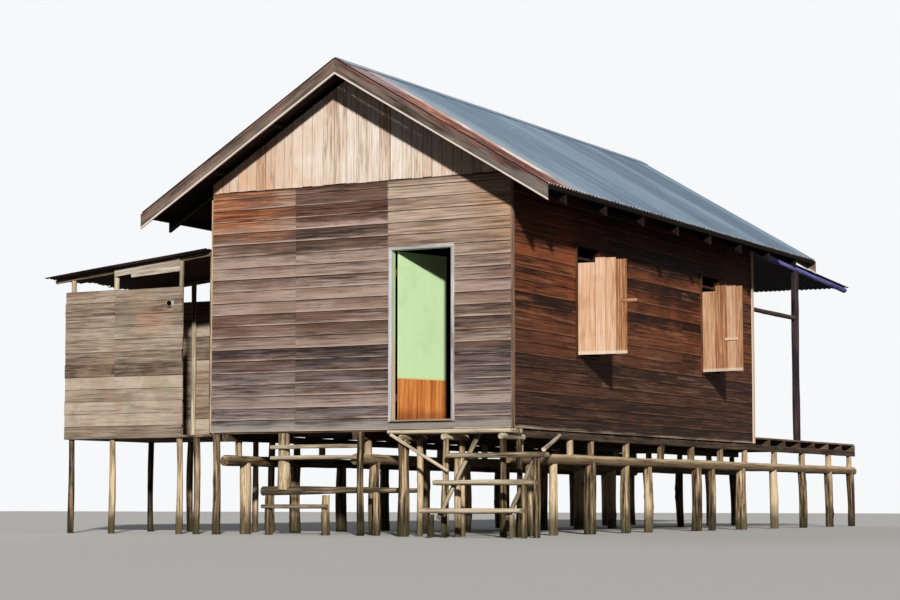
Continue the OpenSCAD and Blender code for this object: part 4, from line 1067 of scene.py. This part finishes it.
# Frame of an upright flat panel: its lower corner at the hinged side, the way of its width, the
# way out of its face, and its width, thickness and height
def panelOf(spots, hinge):
    foot = spots[spots[:, 2] < spots[:, 2].min() + 0.001][:, :2]
    order = np.argsort(np.linalg.norm(foot - np.asarray(hinge)[:2], axis=1))
    near, far = foot[order[:2]], foot[order[2:]]
    way = unit(far.mean(0) - near.mean(0))
    face = np.array([way[1], -way[0]])
    depth = (near - near[0]) @ face
    origin = near[np.argmax(depth)]
    return (np.array([*origin, spots[:, 2].min()]), np.array([*way, 0]), np.array([*face, 0]),
            np.linalg.norm(far.mean(0) - near.mean(0)), abs(depth).max(), np.ptp(spots[:, 2]))


# Upright planks side by side over a panel. shares are their widths from the hinge on, tops how
# much each falls short above.
def planked(panel, shares, tops, thick, gap, tones=None, cut=0.0018):
    corner, way, face, wide, deep, high = panel
    edge = np.cumsum([0, *shares]) / np.sum(shares) * wide
    foot = corner + ((edge[:-1] + edge[1:]) / 2)[:, None] * way - face * thick / 2
    low = chance.uniform(0, 0.003, len(shares))[:, None] * upward
    head = (high - np.array(tops))[:, None] * upward
    return boards(foot + low, foot + head, way, np.diff(edge) - gap, thick, cut, 8, 0.0005, tone=tones)


leaf = {"shares": (1.1, 0.9, 1.0, 1.15, 0.85), "thick": 0.021, "ledge": 0.1, "ledgeInset": 0.03,
        "overFoot": 0.18, "underTop": 0.2}
leafPanel = panelOf(solidsOf("door_leaf")[0], frame["joints"][0]["pos_m"])
leafPlanks = planked(leafPanel, leaf["shares"], (0,) * 5, leaf["thick"], 0.0004, cut=0.0004)
corner, way, face, wide, deep, high = leafPanel
ledgeDeep = deep - leaf["thick"] - 0.0005
ledgeZ = np.array([leaf["overFoot"], high / 2, high - leaf["underTop"]])[:, None]
ledgeAt = corner - face * (deep - ledgeDeep / 2) + ledgeZ * upward
leafLedges = boards(ledgeAt + way * leaf["ledgeInset"], ledgeAt + way * (wide - leaf["ledgeInset"]), upward,
                    leaf["ledge"], ledgeDeep, 0.003, 4, 0.0003)
piece("doorLeaf", [leafPlanks, leafLedges], "door", "door_paint", ["door_leaf"], body="door")

# Windows

# Each lining: two uprights, a sill, a head and the cross piece under the open slot
window = {"board": 0.03, "slot": 0.13}
linings = []
for (x0, y0, z0), (x1, y1, z1) in windowBoxes:
    t, x, deepX = window["board"], (x0 + x1) / 2, x1 - x0
    levels = (z0 + t / 2, z1 - t * 1.5 - window["slot"], z1 - t / 2)
    linings.append(boards([(x, y0 + inset, z) for inset, z in zip((0, t, 0), levels)],
                          [(x, y1 - inset, z) for inset, z in zip((0, t, 0), levels)],
                          upward, t, deepX, 0.003, 4, 0.0003))
    uprights = (y0 + t / 2, y1 - t / 2)
    linings.append(boards([(x, y, z0 + t) for y in uprights], [(x, y, z1 - t) for y in uprights],
                          (0, 1, 0), t, deepX, 0.003, 5, 0.0003))
piece("windowLinings", linings, "lining", "window_wood", ["window_frames"])

# Widths, shortfalls and tones of the planks of each shutter
shutters = (
    ((0.36, 0.21, 0.21, 0.22), (0.055, 0.0, 0.006, 0.03), (0.7, 0.85, 0.6, 0.05)),
    ((0.33, 0.29, 0.22, 0.16), (0.07, 0.0, 0.012, 0.02), (0.4, 0.05, 0.5, 0.15)),
)
shutterGroups = []
panels = sorted(solidsOf("shutters"), key=lambda spots: spots[:, 1].mean())
for spots, (shares, tops, tones) in zip(panels, shutters):
    hinge = spots[np.argmin(np.abs(spots[:, 0]))]
    shutterGroups.append(planked(panelOf(spots, hinge), shares, tops, 0.0215, 0.002, tones))
piece("shutterPlanks", shutterGroups, "newPlanks", "new_wood", ["shutters"])
print("door and windows made")

# Floors

# Boards side by side along Y over a floor's box, each in one or two lengths
def floorBoards(node, wide=0.145, gap=0.004, ragged=0.0, joints=()):
    lo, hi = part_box(node)
    count = int(round((hi.x - lo.x) / wide))
    step = (hi.x - lo.x) / count
    z = (lo.z + hi.z) / 2
    starts, ends, tones = [], [], []
    for k in range(count):
        x = lo.x + (k + 0.5) * step
        cuts = [lo.y, *([joints[k % len(joints)]] if joints else []), hi.y - chance.uniform(0, ragged)]
        for a, b in zip(cuts, cuts[1:]):
            starts.append((x, a + 0.001, z))
            ends.append((x, b - 0.001, z))
            tones.append(chance.uniform(0, 1))
    return boards(starts, ends, (1, 0, 0), step - gap, hi.z - lo.z, 0.003, 10, tone=tones)


floors = {
    "floor_deck": ("floorDeck", dict(joints=(-1.3, 1.4, 0.05))),
    "rear_deck": ("rearDeck", dict(gap=0.009, ragged=0.05, joints=(6.0, 6.7, 5.4))),
    "cabin_floor": ("cabinDeck", dict(wide=0.12, gap=0.008)),
}
for node, (name, settings) in floors.items():
    piece(name, [floorBoards(node, **settings)], "floor", "floor_boards", [node])
print("floors made")

# Wash cabin

cabin = {"row": 0.152, "lap": 0.003, "thick": 0.014, "skin": 0.001, "ragged": 0.03, "joint": 0.43,
         "tones": (0.4, 0.85, 0.8, 0.6, 1.0, 0.15, 0.3, 0.55, 0.65, 0.5, 0.45, 0.6, 0.5)}
frontLow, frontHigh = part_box("cabin_front")
pipeLow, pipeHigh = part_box("cabin_pipe")
pipeHole = (pipeLow.x - 0.003, pipeHigh.x + 0.003, pipeLow.z - 0.003, pipeHigh.z + 0.003)


# Rows of thin boards, edge to edge, with ragged ends and a hole (u0, u1, z0, z1) left for the pipe
def plainRows(way, face, u0, u1, z0, z1, ragged=0.004, hole=None, joint=None, rowTones=None):
    inward, place = wallPlace(way, face + cabin["skin"])
    starts, ends, widths, tones = [], [], [], []
    rows = int(round((z1 - z0) / cabin["row"]))
    step = (z1 - z0) / rows
    for r in range(rows):
        low, high = z0 + r * step, z0 + (r + 1) * step
        right = u1 - chance.uniform(0, ragged)
        left = u0 + chance.uniform(0, ragged * 0.4)
        spans = [(left, right, low, high)]
        if hole and hole[2] < high and hole[3] > low:
            spans = [(left, hole[0], low, high), (hole[1], right, low, high)]
            spans += [(*hole[:2], a, b) for a, b in ((low, hole[2]), (hole[3], high)) if b - a > 0.002]
        if joint and r > rows * 0.3:
            spans[:1] = [(left, joint, low, high), (joint + 0.002, spans[0][1], low, high)]
        tone = rowTones[r % len(rowTones)] if rowTones else chance.uniform(0.1, 0.9)
        for a, b, lo, hi in spans:
            depth = cabin["thick"] / 2 + 0.0015 * (r % 2) + chance.uniform(0, 0.001)
            starts.append(place(a, depth, (lo + hi) / 2))
            ends.append(place(b, depth, (lo + hi) / 2 + chance.uniform(-0.003, 0.003)))
            widths.append(hi - lo + cabin["lap"])
            tones.append(tone)
    return boards(starts, ends, upward, widths, cabin["thick"], 0.0015, 8, 0.002, tone=tones)


# The wood between a square hole and the round pipe in it. Inside, the corners lie on a circle;
# outside, on a square of half side s: there the reach at an angle is s / max(|cos|, |sin|).
def pipeCollar(y, deep, corners=32):
    angle = np.linspace(0, circle, corners, endpoint=False)
    way = np.stack([np.cos(angle), 0 * angle, np.sin(angle)], -1)
    middle = np.array([(pipeHole[0] + pipeHole[1]) / 2, y, (pipeHole[2] + pipeHole[3]) / 2])
    side = (pipeHole[1] - pipeHole[0]) / 2
    inner = middle + way * (side - 0.0025)
    outer = middle + way * (side / abs(way).max(1))[:, None]
    points = np.stack([inner, outer, outer + (0, deep, 0), inner + (0, deep, 0)])
    k = np.arange(4 * corners).reshape(4, corners)
    after = np.roll(k, -1, 1)
    pairs = ((1, 0), (2, 1), (3, 2), (0, 3))
    faces = np.concatenate([np.stack([after[a], after[b], k[b], k[a]], -1) for a, b in pairs])
    return shape(points, [(faces, False)], points + 5.0, 0.6, 0.5)


jointX = frontLow.x + (frontHigh.x - frontLow.x) * cabin["joint"]
cabinRows = plainRows((1, 0, 0), frontLow.y, frontLow.x, frontHigh.x, frontLow.z, frontHigh.z,
                      cabin["ragged"], pipeHole, jointX, cabin["tones"])
piece("cabinFront", [cabinRows, pipeCollar(frontLow.y + 0.004, 0.01)], "cabinBoards", "cabin_boards",
      ["cabin_front"])
cabinLow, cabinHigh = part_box("cabin_sides")
piece("cabinSides", [
    plainRows((0, -1, 0), cabinLow.x, -cabinHigh.y + 0.02, -cabinLow.y, cabinLow.z, cabinHigh.z),
    plainRows((-1, 0, 0), -cabinHigh.y, -cabinHigh.x, -cabinLow.x, cabinLow.z, cabinHigh.z),
], "cabinBoards", "cabin_boards", ["cabin_sides"])

# Two lengths of fascia, the lower one behind and shorter
spots, low, high = spotsOf("cabin_fascia")
fasciaY = (low[1] + high[1]) / 2
leftTop = spots[spots[:, 0] < low[0] + 0.001][:, 2].max()
rightZ = spots[spots[:, 0] > high[0] - 0.001][:, 2]
fascias = ((low[0], leftTop - 0.045, rightZ.max() - 0.045, 0.088, 0.012),
           (low[0] + 0.25, leftTop - 0.075, rightZ.min() + 0.035, 0.066, 0.010))
fasciaGroups = [boards((x, fasciaY, leftZ), (high[0], fasciaY, endZ), upward, wide, thick, 0.0015, 8, 0.001)
                for x, leftZ, endZ, wide, thick in fascias]
piece("cabinFascia", fasciaGroups, "fascia", "pale_trim", ["cabin_fascia"])


# A roof with one fall: corrugated sheets side by side, each lapping over the next. fall is the
# level way of the fall, over the way across it, and spans are the two edges of each sheet.
def leanRoof(node, fall, over, spans, lift, lengths=(1.0,), **look):
    spots = spotsOf(node)[0]
    far = spots @ np.array(fall)
    topEnd, lowEnd = (spots[abs(far - end) < 0.001][:, 2].min() for end in (far.min(), far.max()))
    down = unit(np.ptp(far) * np.array(fall) + (lowEnd - topEnd) * upward)
    up = unit(upward - down[2] * down)
    origin = far.min() * np.array(fall) + topEnd * upward
    run = np.ptp(far) / (down @ fall)
    return [waveSheet(origin, down, over, up, 0.0, run * lengths[k % len(lengths)], a, b,
                      lift=lift[k % 2], tone=chance.uniform(0, 1), **look) for k, (a, b) in enumerate(spans)]


roofLow, roofHigh = spotsOf("cabin_roof")[1:]
nearY = roofLow[1]
spans = [(nearY, nearY + 0.74), (nearY + 0.64, nearY + 1.4), (nearY + 1.3, roofHigh[1])]
oldSheets = leanRoof("cabin_roof", (-1, 0, 0), (0, 1, 0), spans, (0.0005, 0.0025), (1.0, 0.97, 1.0),
                     height=0.010, ragged=0.07, stations=16, sway=0.006)
piece("cabinSheets", oldSheets, "oldSheet", "old_sheet", ["cabin_roof"])
print("wash cabin made")

# Canopy behind the house

canopy = {"sheets": 5, "lap": 0.09}
canopyLow, canopyHigh = spotsOf("canopy_sheets")[1:]
step = (canopyHigh[0] - canopyLow[0]) / canopy["sheets"]
starts = [canopyLow[0] + k * step for k in range(canopy["sheets"])]
spans = [(a, min(a + step + canopy["lap"], canopyHigh[0])) for a in starts]
blueSheets = leanRoof("canopy_sheets", (0, 1, 0), (1, 0, 0), spans, (0.0004, 0.002), height=0.013,
                      ragged=0.03, stations=12, sway=0.001)
piece("canopySheets", blueSheets, "blueSheet", "blue_sheet", ["canopy_sheets"])
print("canopy made")

# What keeps its own shape

for node, finish in (("door_hinges", "iron"), ("door_straps", "iron"), ("cabin_pipe", "pipe")):
    thing = frame["nodes"][node]
    thing.data.materials.clear()
    thing.data.materials.append(finishes[finish])

# Nails

nails = {"rows": 20, "aboveEdge": 0.028, "deep": 0.0022, "astray": 0.012, "astrayZ": 0.004,
         "clear": 0.02, "postReach": 0.2}
posts = [(s.min(0), s.max(0)) for s in solidsOf("wall_posts")]
postX = sorted({round((lo[0] + hi[0]) / 2, 3) for lo, hi in posts if hi[1] < wallLow.y + nails["postReach"]})
postY = sorted({round((lo[1] + hi[1]) / 2, 3) for lo, hi in posts if lo[0] > sideHigh.x - nails["postReach"]})


def astray(u, z):
    return u + chance.uniform(-1, 1) * nails["astray"], z + chance.uniform(-1, 1) * nails["astrayZ"]


clear = nails["clear"]
frontNails, sideNails = [], []
for r in range(nails["rows"]):
    z = wallLow.z + r * lapped["exposure"] + nails["aboveEdge"]
    for x in postX:
        if not (doorLow.x - clear < x < doorHigh.x + clear and z < doorHigh.z):
            atX, atZ = astray(x, z)
            frontNails.append((atX, wallLow.y + nails["deep"], atZ))
    for y in postY:
        if not any(h[0] - clear < y < h[1] + clear and h[2] < z < h[3] for h in windowHoles):
            sideNails.append((sideHigh.x - nails["deep"], *astray(y, z)))
nailGroups = [nailHeads(frontNails, (0, -1, 0)), nailHeads(sideNails, (1, 0, 0))]
piece("wallNails", nailGroups, "iron", "iron", [])
print("nails made")

# Floor, lights and camera

studio = {"floorSize": 90.0, "floorSeen": (0.86, 0.85, 0.83, 1), "floorLit": (0.1, 0.097, 0.094, 1),
          "skySeen": (0.93, 0.94, 0.95, 1), "skyLit": (0.92, 0.95, 1.0, 1), "sky": 0.07}
# Strength, way, softness in degrees and tint
lamps = {"keySun": (3.7, (-0.645, 1.0, -0.387), 2.5, (1.0, 0.97, 0.92)),
         "fillSun": (0.6, (1.0, -0.7, -0.45), 60, (0.93, 0.96, 1.0))}
eye = Vector((12.952, -25.514, 0.387))
aim = Vector((-0.763, -0.099, 3.032))
lensMm = 88.0

corners = np.array([[-1, -1, 0], [1, -1, 0], [1, 1, 0], [-1, 1, 0]]) * studio["floorSize"] / 2
floorMesh = bpy.data.meshes.new("studioFloor")
floorMesh.from_pydata((corners - (0, 0, 0.002)).tolist(), [], [(0, 1, 2, 3)])
f = Finish("studioFloor", Base_Color=studio["floorLit"], Roughness=0.9, Specular_IOR_Level=0.1)
seen = f.node("BsdfDiffuse", sockets={"Color": studio["floorSeen"]})
isSeen = f.node("LightPath", out="Is Camera Ray")
either = f.node("MixShader", sockets={0: isSeen, 1: Wire(f, f.surface.outputs[0]), 2: seen})
f.feed(f.tree.nodes["Material Output"], {"Surface": either})
floorMesh.materials.append(f.material)
studioFloor = bpy.data.objects.new("studioFloor", floorMesh)
bpy.context.scene.collection.objects.link(studioFloor)

world = bpy.data.worlds.new("studioSky")
bpy.context.scene.world = world
world.use_nodes = True
world.node_tree.nodes.clear()
sky = Nodes(world.node_tree)
seen = sky.node("Background", sockets={"Color": studio["skySeen"], "Strength": 1.0})
lit = sky.node("Background", sockets={"Color": studio["skyLit"], "Strength": studio["sky"]})
isSeen = sky.node("LightPath", out="Is Camera Ray")
isSeen = isSeen.sum("MAXIMUM", isSeen, sky.node("LightPath", out="Is Glossy Ray"))
sky.node("OutputWorld", sockets={0: sky.node("MixShader", sockets={0: isSeen, 1: lit, 2: seen})})

for name, (strength, way, softness, tint) in lamps.items():
    light = bpy.data.lights.new(name, "SUN")
    light.energy, light.color, light.angle = strength, tint, np.radians(softness)
    thing = bpy.data.objects.new(name, light)
    thing.rotation_euler = Vector(way).to_track_quat("-Z", "Y").to_euler()
    bpy.context.scene.collection.objects.link(thing)

lens = bpy.data.cameras.new("photoCamera")
lens.sensor_width, lens.lens = 36.0, lensMm
lens.clip_end = 300.0
camera = bpy.data.objects.new("photoCamera", lens)
camera.location = eye
camera.rotation_euler = (aim - eye).to_track_quat("-Z", "Y").to_euler()
bpy.context.scene.collection.objects.link(camera)
bpy.context.scene.camera = camera
bpy.context.scene.view_settings.view_transform = "Standard"
print("stage set")
